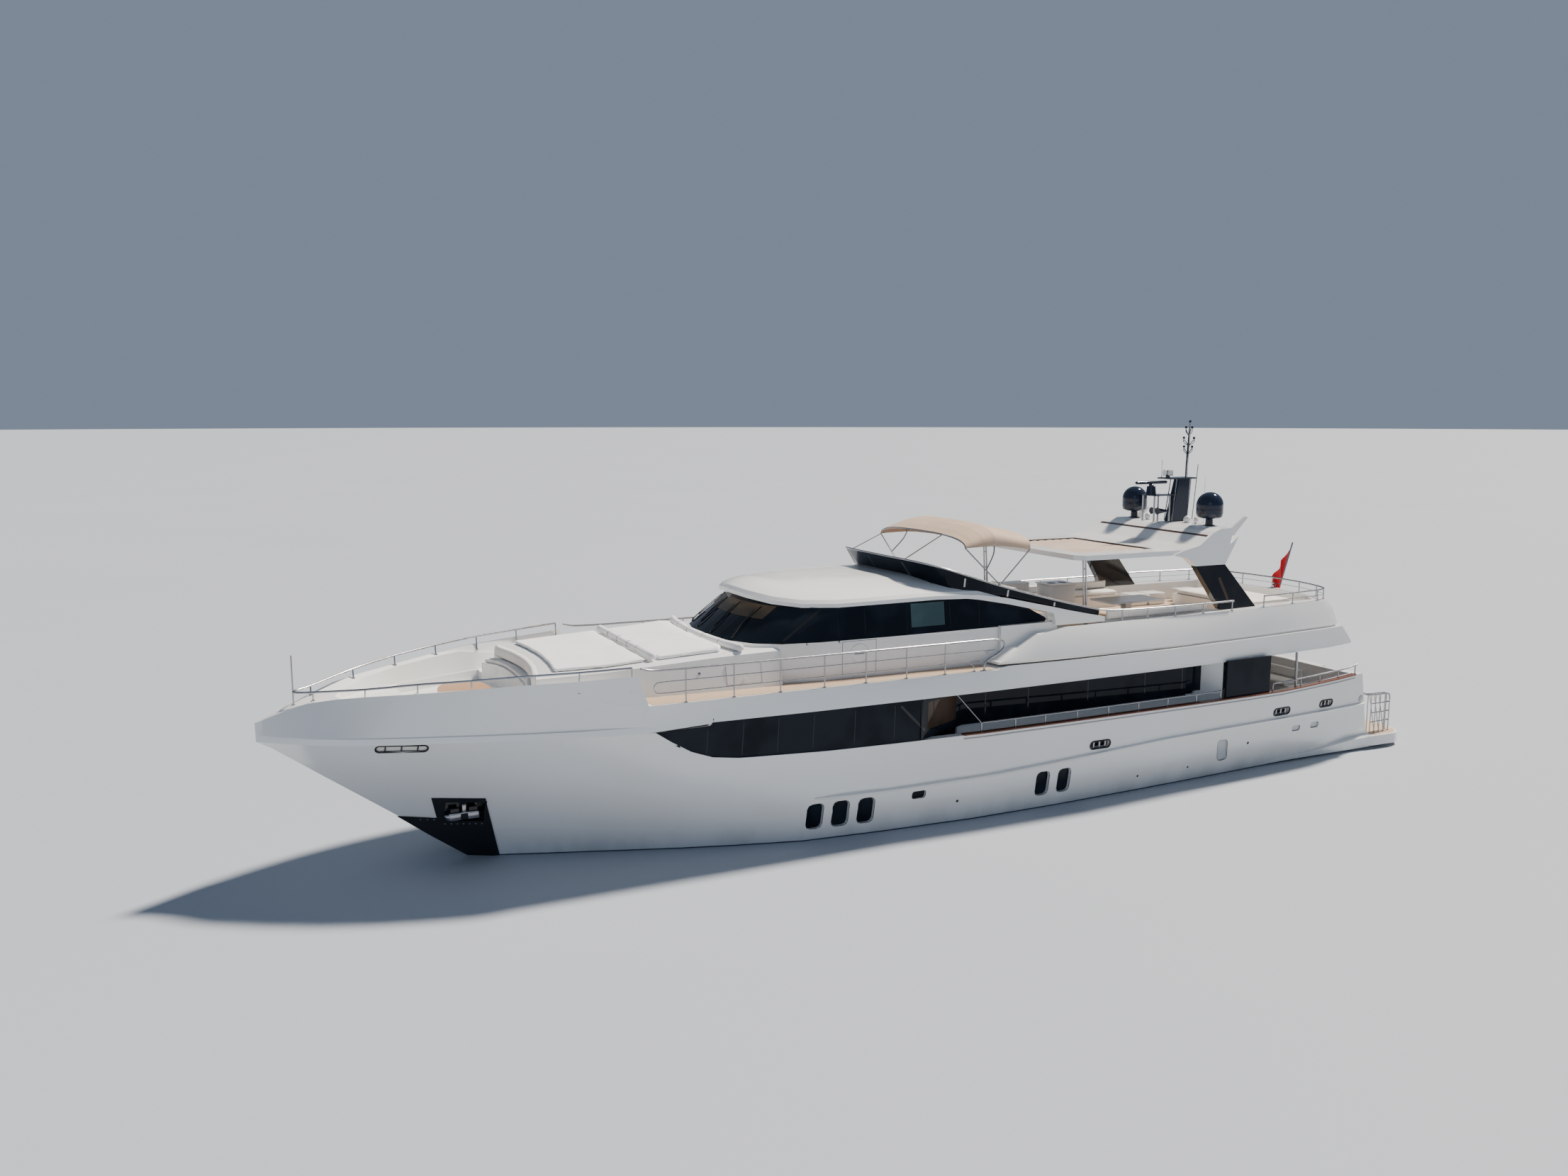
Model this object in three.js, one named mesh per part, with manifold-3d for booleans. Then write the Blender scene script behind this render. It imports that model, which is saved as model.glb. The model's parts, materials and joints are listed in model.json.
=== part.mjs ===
// Motor yacht, 32 m long. Millimetres: +X forward, +Y to port, +Z up.
// The origin is on the centreline, at the waterline, midway between bow and swim platform.
import * as THREE from 'three';
import { mergeVertices } from 'three/addons/utils/BufferGeometryUtils.js';
import Module from 'manifold-3d';

const wasm = await Module();
wasm.setup();

// Driving dimensions
const GAP = 0.3; // between pieces that touch
const RUN = 0.8; // between a moving piece and its bearing
const BOW_X = 15980;
const TRANSOM_X = -14350;
const STERN_X = -16000;
const MAIN_DECK_Z = 1400;
const CAP_Z = 2270; // top of the main-deck bulwark
const LIP_Z = 3150; // lip round the bow, under the forward bulwark
const SALOON_CEILING_Z = 3280; // underside of the upper deck
const SIDE_DECK_Z = 3780;
const BAND_TOP_Z = 3860;
const SILL_Z = 4690; // bottom of the wheelhouse windows
const FLY_FLOOR_Z = 4100;
const HELM_FLOOR_Z = 4900;
const HARDTOP_Z = 6300;
const ARCH_Z = 6830;
const SALOON_Y = 2350; // outside of the saloon's side walls
const SALOON_AFT_X = -9400;
const WALKWAY_X = 200; // forward end of the open side walkway
const RAIL_R = 22;
const POST_R = 16;

// Colours and finishes
const FINISH = {
  gelcoat: { color: 0xf2f1ee, roughness: 0.25, metalness: 0 },
  darkGlass: { color: 0x101418, roughness: 0.08, metalness: 0 },
  steel: { color: 0xc9ccd0, roughness: 0.2, metalness: 1 },
  black: { color: 0x0c0d10, roughness: 0.35, metalness: 0 },
  canvas: { color: 0xbca38c, roughness: 0.9, metalness: 0 },
  cushion: { color: 0xf3f1ec, roughness: 0.85, metalness: 0 },
  teak: { color: 0xb08660, roughness: 0.7, metalness: 0 },
  bronze: { color: 0xa98445, roughness: 0.35, metalness: 1 },
  flagRed: { color: 0xc4141f, roughness: 0.9, metalness: 0 },
};

// Helpers that turn outlines into closed solids

function solid(geometry) {
  geometry.deleteAttribute('normal');
  geometry.deleteAttribute('uv');
  const merged = mergeVertices(geometry, 1e-3);
  const vertProperties = new Float32Array(merged.attributes.position.array);
  const triVerts = new Uint32Array(merged.index.array);
  return new wasm.Manifold(new wasm.Mesh({ numProp: 3, vertProperties, triVerts }));
}

function box(x0, x1, y0, y1, z0, z1) {
  const geometry = new THREE.BoxGeometry(x1 - x0, y1 - y0, z1 - z0);
  return solid(geometry.translate((x0 + x1) / 2, (y0 + y1) / 2, (z0 + z1) / 2));
}

function shapeOf(points) {
  return new THREE.Shape(points.map(([u, v]) => new THREE.Vector2(u, v)));
}

function prism(points, depth) {
  return new THREE.ExtrudeGeometry(shapeOf(points), { depth, bevelEnabled: false });
}

// Outline in plan, from z0 up to z1
function prismZ(points, z0, z1) {
  return solid(prism(points, z1 - z0).translate(0, 0, z0));
}

// Outline in side view (x, z), from y0 to y1
function prismY(points, y0, y1) {
  const turn = new THREE.Matrix4().makeBasis(
    new THREE.Vector3(1, 0, 0), new THREE.Vector3(0, 0, 1), new THREE.Vector3(0, -1, 0));
  return solid(prism(points, y1 - y0).applyMatrix4(turn).translate(0, y1, 0));
}

// Outline seen from ahead (y, z), from x0 to x1
function prismX(points, x0, x1) {
  const turn = new THREE.Matrix4().makeBasis(
    new THREE.Vector3(0, 1, 0), new THREE.Vector3(0, 0, 1), new THREE.Vector3(1, 0, 0));
  return solid(prism(points, x1 - x0).applyMatrix4(turn).translate(x0, 0, 0));
}

function rod(from, to, r0, r1 = r0, sides = 8) {
  const a = new THREE.Vector3(...from);
  const b = new THREE.Vector3(...to);
  const along = b.clone().sub(a);
  const geometry = new THREE.CylinderGeometry(r1, r0, along.length(), sides);
  const turn = new THREE.Quaternion().setFromUnitVectors(new THREE.Vector3(0, 1, 0),
    along.clone().normalize());
  geometry.applyQuaternion(turn);
  const middle = a.add(b).multiplyScalar(0.5);
  return solid(geometry.translate(middle.x, middle.y, middle.z));
}

// A path of straight runs, whose sections stand square to the corner's bisector
class Route extends THREE.Curve {
  constructor(points) {
    super();
    this.points = points.map((p) => new THREE.Vector3(...p));
  }
  getPoint(t) {
    const last = this.points.length - 1;
    const i = Math.min(Math.floor(t * last + 1e-9), last - 1);
    return this.points[i].clone().lerp(this.points[i + 1], t * last - i);
  }
  getPointAt(u) {
    return this.getPoint(u);
  }
  getTangentAt(u) {
    const last = this.points.length - 1;
    const i = Math.round(u * last);
    const ahead = new THREE.Vector3();
    const behind = new THREE.Vector3();
    if (i < last) ahead.subVectors(this.points[i + 1], this.points[i]).normalize();
    if (i > 0) behind.subVectors(this.points[i], this.points[i - 1]).normalize();
    return ahead.add(behind).normalize();
  }
}

function tube(points, radius = RAIL_R, sides = 6) {
  const ring = Array.from({ length: sides }, (_, i) => {
    const a = (2 * Math.PI * i) / sides;
    return [radius * Math.cos(a), radius * Math.sin(a)];
  });
  const settings = { steps: points.length - 1, extrudePath: new Route(points), bevelEnabled: false };
  return solid(new THREE.ExtrudeGeometry(shapeOf(ring), settings));
}

// A closed skin over rings of equal length, with a flat-drawn cap at each end.
// The caps are triangulated in the plane that drops the axis named by flat.
function loft(rings, flat = 'x') {
  const n = rings[0].length;
  const points = rings.flat();
  const faces = [];
  for (let r = 0; r < rings.length - 1; r += 1) {
    for (let i = 0; i < n; i += 1) {
      const a = r * n + i;
      const b = r * n + ((i + 1) % n);
      faces.push([a, b, a + n], [b, b + n, a + n]);
    }
  }
  const drop = { x: (p) => new THREE.Vector2(p[1], p[2]), y: (p) => new THREE.Vector2(p[0], p[2]),
    z: (p) => new THREE.Vector2(p[0], p[1]) }[flat];
  const last = (rings.length - 1) * n;
  const cap = (ring, start, side) => {
    const outline = ring.map(drop);
    const winding = side * Math.sign(THREE.ShapeUtils.area(outline));
    for (const [i, j, k] of THREE.ShapeUtils.triangulateShape(outline, [])) {
      const area = THREE.ShapeUtils.area([outline[i], outline[j], outline[k]]);
      const same = Math.sign(area) === winding;
      faces.push([start + i, start + (same ? j : k), start + (same ? k : j)]);
    }
  };
  cap(rings[0], 0, -1);
  cap(rings[rings.length - 1], last, 1);
  let volume = 0;
  for (const [a, b, c] of faces) {
    const [p, q, s] = [points[a], points[b], points[c]];
    volume += p[0] * (q[1] * s[2] - q[2] * s[1]) - p[1] * (q[0] * s[2] - q[2] * s[0])
      + p[2] * (q[0] * s[1] - q[1] * s[0]);
  }
  const geometry = new THREE.BufferGeometry();
  geometry.setAttribute('position', new THREE.Float32BufferAttribute(points.flat(), 3));
  geometry.setIndex(faces.flatMap((f) => (volume < 0 ? [f[0], f[2], f[1]] : f)));
  return solid(geometry);
}

function join(pieces) {
  return pieces.reduce((whole, piece) => whole.add(piece));
}

function cut(whole, tools) {
  return tools.reduce((rest, tool) => rest.subtract(tool), whole);
}

// The piece less its neighbour, and less the neighbour moved by each shift, so that a gap of that size stays
function clear(piece, neighbour, ...shifts) {
  return shifts.reduce((rest, shift) => rest.subtract(neighbour.translate(shift)), piece.subtract(neighbour));
}

// Smooth curve through [x, value] pairs, with x rising
function curveAt(line, x) {
  const last = line.length - 1;
  if (x <= line[0][0]) return line[0][1];
  if (x >= line[last][0]) return line[last][1];
  let i = 0;
  while (line[i + 1][0] < x) i += 1;
  const slope = (j) => {
    const a = line[Math.max(j - 1, 0)];
    const b = line[Math.min(j + 1, last)];
    return (b[1] - a[1]) / (b[0] - a[0]);
  };
  const [x0, y0] = line[i];
  const [x1, y1] = line[i + 1];
  const h = x1 - x0;
  const t = (x - x0) / h;
  const straight = y0 + (y1 - y0) * t;
  const bend = t * (1 - t) * ((1 - t) * (slope(i) * h - (y1 - y0)) - t * (slope(i + 1) * h - (y1 - y0)));
  return straight + bend;
}

function lerpAt(line, x) {
  const last = line.length - 1;
  if (x <= line[0][0]) return line[0][1];
  if (x >= line[last][0]) return line[last][1];
  let i = 0;
  while (line[i + 1][0] < x) i += 1;
  return line[i][1] + ((line[i + 1][1] - line[i][1]) * (x - line[i][0])) / (line[i + 1][0] - line[i][0]);
}

// Hull lines: half-breadths [x, y] at four levels, and the keel and stem [x, z]
const BREADTHS = [
  { z: 0, line: [[-14350, 2320], [-10250, 2460], [-7400, 2620], [-600, 2820], [4180, 2500], [5020, 2320],
    [7000, 1750], [9000, 1050], [11100, 300], [11720, 0]] },
  { z: 1400, line: [[-14350, 2540], [-12000, 2780], [-8300, 2990], [-4000, 3080], [0, 3080], [4000, 2900],
    [6000, 2620], [8000, 2150], [10000, 1500], [12000, 720], [13550, 0]] },
  { z: 2350, line: [[-14350, 2680], [-12200, 2920], [-9500, 3090], [-2700, 3220], [400, 3220], [4000, 3120],
    [6700, 2900], [8500, 2550], [10000, 2150], [12000, 1450], [13500, 830], [14870, 0]] },
  { z: LIP_Z, line: [[-14350, 2700], [-12200, 2950], [-9500, 3100], [-5000, 3220], [0, 3250], [4000, 3220],
    [8140, 2950], [9820, 2620], [11220, 2260], [12580, 1830], [13920, 1350], [14900, 880], [15480, 450],
    [BOW_X, 40]] },
];
const KEEL = [[TRANSOM_X, -450], [-11000, -700], [-6000, -1150], [0, -1300], [5000, -1300], [8500, -1050],
  [10600, -550], [11720, 0], [13250, 1160], [14690, 2220], [15840, 3070], [BOW_X, 3130]];
const CHINE_DEPTH = 0.3; // of the keel's depth
const CHINE_BREADTH = 0.93; // of the waterline's half-breadth

function hullProfile(x) {
  const keel = curveAt(KEEL, x);
  const above = BREADTHS.filter(({ z }) => z > keel + 1).map(({ z, line }) => [z, curveAt(line, x)]);
  const below = keel < -100 ? [[CHINE_DEPTH * keel, CHINE_BREADTH * curveAt(BREADTHS[0].line, x)]] : [];
  return [[keel, 0], ...below, ...above];
}

function halfBreadth(x, z) {
  return lerpAt(hullProfile(x), z);
}

const HULL_STATIONS = [TRANSOM_X, -12500, -11000, -9000, -7000, -5000, -2500, 0, 2500, 4500, 6000, 7200, 8240,
  9200, 10200, 11100, 11720, 12500, 13250, 14000, 14690, 15300, 15700, BOW_X];
const DEEP_LEVELS = [0, 700, 1400, 2350, LIP_Z];
const STEM_SHARES = [0, 0.12, 0.25, 0.4, 0.6, 0.8, 1];

function hullRing(x) {
  const keel = curveAt(KEEL, x);
  const deep = keel < -300;
  const levels = deep ? [keel, CHINE_DEPTH * keel, ...DEEP_LEVELS]
    : STEM_SHARES.map((share) => keel + (LIP_Z - keel) * share);
  const port = levels.map((z) => [x, halfBreadth(x, z), z]);
  const starboard = port.slice(1).reverse().map(([px, py, pz]) => [px, -py, pz]);
  return [...port, ...starboard];
}

// Swoosh at the forward end of the window band, [x, z] from the cap up to the lip
const SWOOSH = [[0, CAP_Z], [4100, 2300], [6300, 2360], [6900, 2430], [7400, 2610], [7850, 2880], [8240,
  LIP_Z]];
const CAP_LINE = [[-13500, 2420], [-12000, 2350], [-10000, CAP_Z], ...SWOOSH];
const STRAKE_Z = [[-13900, 1470], [-10000, 1470], [-5900, 1420], [-3000, 1280], [-400, 1160], [2100, 1120],
  [4350, 1120]];
const DECK_STATIONS = [-13250, -12000, -10000, -7000, -4000, -1000, 2000, 4500, 6400];
const BULWARK = 80; // at deck level

function deckOutline(inset) {
  const port = DECK_STATIONS.map((x) => [x, halfBreadth(x, MAIN_DECK_Z) - inset]);
  return [...port, ...port.slice().reverse().map(([x, y]) => [x, -y])];
}

function strake(side) {
  const width = 75;
  const height = 60;
  const stations = [-13880, -12000, -10000, -8000, -5900, -4000, -2000, -400, 2100, 3600, 4350];
  const rings = stations.map((x, i) => {
    const taper = i === stations.length - 1 ? 0.15 : 1;
    const z = curveAt(STRAKE_Z, x);
    const y = halfBreadth(x, z);
    return [[x, side * (y - 60), z - height], [x, side * (y + width * taper * 0.6), z - height * taper],
      [x, side * (y + width * taper), z], [x, side * (y - 60), z + height * taper]];
  });
  return loft(rings);
}

// Low flare that grows out of the hull's side and becomes the swim platform's edge
function quarterFlare(side) {
  const stations = [[-10200, 8, 120], [-12000, 70, 230], [-13600, 140, 400], [TRANSOM_X + 1, 190, 420]];
  const rings = stations.map(([x, width, top]) => {
    const y = halfBreadth(x, top);
    return [[x, side * (y - 90), 20], [x, side * (y + width * 0.7), 60], [x, side * (y + width), top - 30],
      [x, side * (y - 90), top + 30]];
  });
  return loft(rings);
}

const SHAFT_Y = 1150;
const PROP_X = -11750;
const PROP_Z = -1120;
const SHAFT_FRONT_X = -7400;
const SHAFT_RISE = 0.066; // height gained for each length forward
const SHAFT_R = 45;

function shaftPoint(x, side) {
  return [x, side * SHAFT_Y, PROP_Z + (x - PROP_X) * SHAFT_RISE];
}

// Bracket that holds the shaft ahead of the propeller: a barrel with a bore, and two arms
function shaftBracket(side) {
  const fore = shaftPoint(PROP_X + 620, side);
  const aft = shaftPoint(PROP_X + 300, side);
  const middle = shaftPoint(PROP_X + 460, side);
  const arms = [-330, 330].map((lean) => rod([middle[0], middle[1] + side * lean * 0.1, middle[2] + 70],
    [middle[0] + 60, middle[1] + side * lean, -300], 45, 55));
  const barrel = join([rod(aft, fore, 95, 95, 16), ...arms]);
  const boreR = SHAFT_R + 2 * RUN;
  const bore = rod(shaftPoint(PROP_X + 290, side), shaftPoint(PROP_X + 630, side), boreR, boreR, 16);
  return cut(barrel, [bore]);
}

function sternTube(side) {
  return rod(shaftPoint(SHAFT_FRONT_X, side), shaftPoint(SHAFT_FRONT_X + 1500, side), 85, 110, 12);
}

const STAIR_Y0 = 1450;
const STAIR_Y1 = 2230;
const STEP_RISE = 245;
const STEP_RUN = 250;
const PLATFORM_TOP = 400;

function sternStairs(side) {
  const y0 = Math.min(side * STAIR_Y0, side * STAIR_Y1);
  const y1 = Math.max(side * STAIR_Y0, side * STAIR_Y1);
  return [0, 1, 2, 3].map((i) => box(-15500, -14050 + i * STEP_RUN, y0, y1,
    PLATFORM_TOP + 20 + i * STEP_RISE, 3000));
}

// Recesses in both sides of the hull: tall cabin windows, one blank, small ports, hawse holes and scuppers.
// Columns: centre x, centre z, length, height, how far the top leans forward, depth
const SIDE_PORTS = [
  [4280, 630, 420, 660, 20, 110],
  [3630, 630, 420, 660, 20, 110],
  [2980, 630, 420, 660, 20, 110],
  [-2000, 680, 400, 640, 20, 110],
  [-2670, 680, 400, 640, 20, 110],
  [-8180, 765, 380, 650, 200, 60],
  [1605, 865, 360, 180, 0, 80],
  [-3680, 1530, 620, 180, 0, 200],
  [-10200, 1670, 620, 180, 0, 200],
  [-12070, 1685, 520, 180, 0, 200],
  [-11020, 1050, 320, 170, 30, 50],
  [-11810, 1050, 320, 170, 30, 50],
  [13275, 3035, 980, 150, 0, 60],
];

// Rounded outline of a recess, [x, z]
function portOutline([x, z, length, height, lean]) {
  const r = Math.min(length, height) * 0.3;
  const corners = [[1, 1, 0], [-1, 1, 90], [-1, -1, 180], [1, -1, 270]];
  return corners.flatMap(([u, v, start]) => [0, 45, 90].map((turn) => {
    const a = ((start + turn) * Math.PI) / 180;
    const pz = v * (height / 2 - r) + r * Math.sin(a);
    return [x + u * (length / 2 - r) + r * Math.cos(a) + (lean * pz) / height, z + pz];
  }));
}

// Its sides stand straight out, and its back follows the hull's side
function sidePort(side, row) {
  const depth = row[5];
  const ring = (out) => portOutline(row).map(([x, z]) => [x, side * (halfBreadth(x, z) + out), z]);
  return loft([ring(-depth), ring(150)], 'y');
}

const RUDDER_X = -12850;
const RUDDER_TOP_Z = -640;

function hull() {
  const body = loft(HULL_STATIONS.map(hullRing));
  const keel = prismY([[7000, -1100], [7600, -1330], [4000, -1700], [-4500, -1700], [-6200, -1150],
    [-4000, -1000],
    [4000, -1000]], -90, 90);
  const aboveCap = prismY([[-15500, 2420], ...CAP_LINE, [8240, 3600], [-15500, 3600]], -4000, 4000);
  const well = prismZ(deckOutline(BULWARK), MAIN_DECK_Z, 3600);
  const transom = prismY([[-13500, 2500], [TRANSOM_X, PLATFORM_TOP], [-15500, PLATFORM_TOP], [-15500, 2500]],
    -4000, 4000);
  const sofa = cut(box(-13240, -12300, -1300, 1300, MAIN_DECK_Z - 10, 1830),
    [box(-13000, -12000, -1100, 1100, 1780, 2000)]);
  const bosses = [-1, 1].map((side) => rod([RUDDER_X, side * SHAFT_Y, RUDDER_TOP_Z + 60],
    [RUDDER_X, side * SHAFT_Y, -100], 130, 150, 12));
  const extras = [1, -1].flatMap((side) => [strake(side), quarterFlare(side), shaftBracket(side),
    sternTube(side)]);
  const closed = join([body, keel, ...extras, ...bosses]);
  const ports = SIDE_PORTS.flatMap((row) => [sidePort(1, row), sidePort(-1, row)]);
  const stairs = [...sternStairs(1), ...sternStairs(-1)];
  const open = cut(closed, [aboveCap, well, transom, ...stairs, ...anchorPockets(0), ...ports]);
  return open.add(sofa);
}

function swimPlatform(hullSolid) {
  const half = [[-14000, 2500], [-14350, 2610], [-15250, 2640], [-15480, 2570], [-15700, 2380], [-15850,
    2000],
    [-15960, 1200], [STERN_X, 0]];
  const outline = [...half, ...half.slice(0, -1).reverse().map(([x, y]) => [x, -y])];
  const plate = prismZ(outline, 110, PLATFORM_TOP);
  return clear(plate, hullSolid, [-GAP, 0, 0], [0, GAP, 0], [0, -GAP, 0]);
}

// Black plate round the stem down to the waterline, with a recess for the anchor on each side
const CASING = 25; // thickness of the recess's lining
const POCKET = { x0: 11480, x1: 12330, z0: 960, z1: 1540, y: 420 };
const PLATE_SIDE = [[13190, 1130], [12450, 1080], [12600, 1650], [11520, 1620], [11080, -60], [13800, -60],
  [13800, 1130]];
const PLATE_THICKNESS = 18;

// Recesses on both sides, smaller than the full size by rim all round and at the back
function anchorPockets(rim) {
  return [1, -1].map((side) => sided(side, POCKET.x0 + rim, POCKET.x1 - rim, POCKET.y + rim, 2000,
    POCKET.z0 + rim,
    POCKET.z1 - rim));
}

// Box given by its port-side place, on the side asked for
function sided(side, x0, x1, y0, y1, z0, z1) {
  return side > 0 ? box(x0, x1, y0, y1, z0, z1) : box(x0, x1, -y1, -y0, z0, z1);
}

// The fore part of the hull, grown outwards
function bowBody(grown) {
  return loft(HULL_STATIONS.filter((x) => x > 8000).map((x) => hullRing(x).map(([px, py, pz]) => {
    const ahead = Math.abs(py) < 1 ? 2 : 0.5;
    return [px + ahead * grown, py + Math.sign(py) * grown, pz];
  })));
}

function anchorPlate() {
  const wide = bowBody(PLATE_THICKNESS);
  const skin = cut(wide.intersect(prismY(PLATE_SIDE, -1500, 1500)), [...anchorPockets(CASING), bowBody(1)]);
  const casing = cut(join(anchorPockets(3 * GAP)), anchorPockets(CASING)).intersect(wide);
  return join([skin, casing, anchor(1), anchor(-1)]);
}

// Stockless anchor in its recess: shank, web to the back of the recess, crown and two flukes
function anchor(side) {
  const x = (POCKET.x0 + POCKET.x1) / 2;
  const back = POCKET.y + CASING / 2;
  const y = POCKET.y + 150;
  const z = POCKET.z0 + 150;
  const shank = sided(side, x - 35, x + 35, back, back + 100, z - 50, POCKET.z1 - 60);
  const crown = rod([x - 300, side * y, z], [x + 300, side * y, z], 85);
  const flukes = [-200, 200].map((dx) => sided(side, x + dx - 90, x + dx + 90, y - 40, y + 60, z - 10,
    z + 210));
  return join([shank, crown, ...flukes]);
}

// Propeller with its shaft, on the shaft's line
const BLADE_COUNT = 5;
const PROP_R = 500;

function propeller(side) {
  const hub = rod([-190, 0, 0], [150, 0, 0], 70, 95, 12);
  const cap = rod([-300, 0, 0], [-190, 0, 0], 20, 70, 12);
  const shaftLength = (SHAFT_FRONT_X - PROP_X) * Math.hypot(1, SHAFT_RISE) - RUN;
  const shaft = rod([140, 0, 0], [shaftLength, 0, 0], SHAFT_R, SHAFT_R, 12);
  const blade = loft([[60, 26, 100], [200, 20, 260], [400, 12, 330], [PROP_R, 6, 150]].map(([r, thick,
    chord]) => {
    const pitch = Math.atan2(260, r);
    const [c, s] = [Math.cos(pitch), Math.sin(pitch)];
    const [u, v] = [chord / 2, thick / 2];
    return [[u, 0], [0, v], [-u, 0], [0, -v]].map(([p, q]) => [p * s - q * c, p * c + q * s, r]);
  }), 'z');
  const blades = Array.from({ length: BLADE_COUNT }, (_, i) => blade.rotate([(360 * i) / BLADE_COUNT, 0, 0]));
  const whole = join([hub, cap, shaft, ...blades]);
  const placed = whole.rotate([0, (-Math.atan(SHAFT_RISE) * 180) / Math.PI, 0]);
  return placed.translate([PROP_X, side * SHAFT_Y, PROP_Z]);
}

function rudder(side) {
  const y = side * SHAFT_Y;
  const section = (front, back, half, z) => [[RUDDER_X + front, y, z], [RUDDER_X + front * 0.6, y + half, z],
    [RUDDER_X - back * 0.3, y + half, z], [RUDDER_X - back, y, z], [RUDDER_X - back * 0.3, y - half, z],
    [RUDDER_X + front * 0.6, y - half, z]];
  const blade = loft([section(210, 480, 55, RUDDER_TOP_Z), section(150, 380, 40, -1680)], 'z');
  const stock = rod([RUDDER_X, y, RUDDER_TOP_Z - 100], [RUDDER_X, y, RUDDER_TOP_Z + 60 - RUN], 60, 60, 12);
  return blade.add(stock);
}

// Plan outline of the upper deck, from the stern's centre to the bow, port side
// Columns: bottom edge x, y, z; top edge x, y, z
const UPPER_EDGE = [
  [-14000, 0, SALOON_CEILING_Z, -13400, 0, BAND_TOP_Z],
  [-13900, 1200, SALOON_CEILING_Z, -13300, 1200, BAND_TOP_Z],
  [-13680, 2050, SALOON_CEILING_Z, -13080, 2150, BAND_TOP_Z],
  [-13350, 2460, SALOON_CEILING_Z, -12740, 2640, BAND_TOP_Z],
  [-12200, 2680, SALOON_CEILING_Z, -12200, 2740, BAND_TOP_Z],
  [-9540, 2880, SALOON_CEILING_Z, -9540, 2990, BAND_TOP_Z],
  [-7200, 3020, SALOON_CEILING_Z, -7200, 3150, BAND_TOP_Z],
  [-5690, 3090, SALOON_CEILING_Z, -5690, 3250, BAND_TOP_Z],
  [-2500, 3150, SALOON_CEILING_Z, -2500, 3240, BAND_TOP_Z],
  [-700, 3180, SALOON_CEILING_Z, -700, 3180, BAND_TOP_Z],
  [-200, 3190, SALOON_CEILING_Z, -200, 3150, SIDE_DECK_Z],
  [2000, 3200, SALOON_CEILING_Z, 2000, 3130, SIDE_DECK_Z],
  [4500, 3180, SALOON_CEILING_Z, 4500, 3130, SIDE_DECK_Z],
  [7000, 3090, SALOON_CEILING_Z - 20, 7000, 3115, SIDE_DECK_Z],
  [8240, 2960, LIP_Z + 60, 8430, 3100, SIDE_DECK_Z],
  [8500, 2915, LIP_Z, 8680, 3115, 4460],
  [9820, 2650, LIP_Z, 9850, 2870, 4410],
  [10900, 2370, LIP_Z, 10900, 2570, 4370],
  [11930, 2060, LIP_Z, 11930, 2190, 4300],
  [12930, 1730, LIP_Z, 12930, 1720, 4210],
  [13900, 1375, LIP_Z, 13900, 1180, 4130],
  [14500, 1110, LIP_Z, 14450, 820, 4060],
  [14900, 900, LIP_Z, 14850, 480, 3960],
  [15480, 470, LIP_Z, 15400, 230, 3790],
  [15850, 180, LIP_Z, 15850, 90, 3600],
];
const BOW_TIP = [BOW_X + 10, 0, LIP_Z, 15995, 0, 3540];

// Ring of an edge table: out along the port side and back along the starboard side
function ringOf(rows, pick, tip) {
  const port = rows.map(pick);
  const end = tip ? [pick(tip)] : [];
  const starboard = port.slice(1).reverse().map(([x, y, z]) => [x, -y, z]);
  return [...port, ...end, ...starboard];
}

// Inside of the forward bulwark. Columns: x, half-width at the deck, half-width at the bulwark's top
const FOREDECK_WELL = [[8380, 2875, 2985], [8660, 2875, 2985], [9850, 2630, 2740], [10900, 2330, 2440],
  [11930, 1950, 2060], [12930, 1500, 1590], [13700, 1050, 1130], [14250, 500, 560], [14400, 0, 0]];
const WELL_TOP_Z = 4400;
const BOW_FLOOR_Z = 3550; // floor ahead of the bow seat
const BOW_FLOOR = [[10925, 2290], [11930, 1920], [12930, 1470], [13000, 1300], [13000, 0]];

function bothSides(half) {
  const port = half.filter(([, y]) => y > 0);
  const middle = half.filter(([, y]) => y === 0);
  return [...port, ...middle, ...port.slice().reverse().map(([x, y]) => [x, -y])];
}

function upperDeck(hullSolid) {
  const bottom = ringOf(UPPER_EDGE, (row) => row.slice(0, 3), BOW_TIP);
  const top = ringOf(UPPER_EDGE, (row) => row.slice(3, 6), BOW_TIP);
  const lip = bottom.map(([x, y, z]) => [x, y, x > 8300 ? z + 130 : z + 60]);
  const groove = lip.map(([x, y, z]) => (x > 8600 ? [x, y * 0.985, z + 20] : [x, y, z + 20]));
  const block = loft([bottom, lip, groove, top], 'z');
  const seatLine = hollowLine(SEAT_FRONT_X, SEAT_REACH, SEAT_HALF, 4, 13).reverse();
  const wellRing = (z) => bothSides(FOREDECK_WELL.map(([x, low, high]) => {
    return [x, low + ((high - low) * (z - SIDE_DECK_Z)) / (WELL_TOP_Z - SIDE_DECK_Z)];
  })).map(([x, y]) => [x, y, z]);
  const hollows = [loft([wellRing(SIDE_DECK_Z), wellRing(5000)], 'z'),
    prismZ([...bothSides(BOW_FLOOR), ...seatLine], BOW_FLOOR_Z, SIDE_DECK_Z + 10),
    box(-460, 8400, -4000, 4000, SIDE_DECK_Z, 5000),
    box(-901, -400, -2480, 2480, SIDE_DECK_Z, 5000),
    box(-15000, -400, -4000, 4000, BAND_TOP_Z, 5000),
    box(-15000, 7000, -4000, 4000, 3000, SALOON_CEILING_Z)];
  const posts = [1800, 3700, 5500].flatMap((x) => [1, -1].map((side) => {
    const y = side * (halfBreadth(x, MAIN_DECK_Z) - 260);
    const [y0, y1] = [Math.min(y, y + side * 90), Math.max(y, y + side * 90)];
    return box(x - 60, x + 60, y0, y1, MAIN_DECK_Z + GAP, SALOON_CEILING_Z + 50);
  }));
  return clear(join([cut(block, hollows), ...posts]), hullSolid, [0, 0, GAP]);
}

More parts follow.
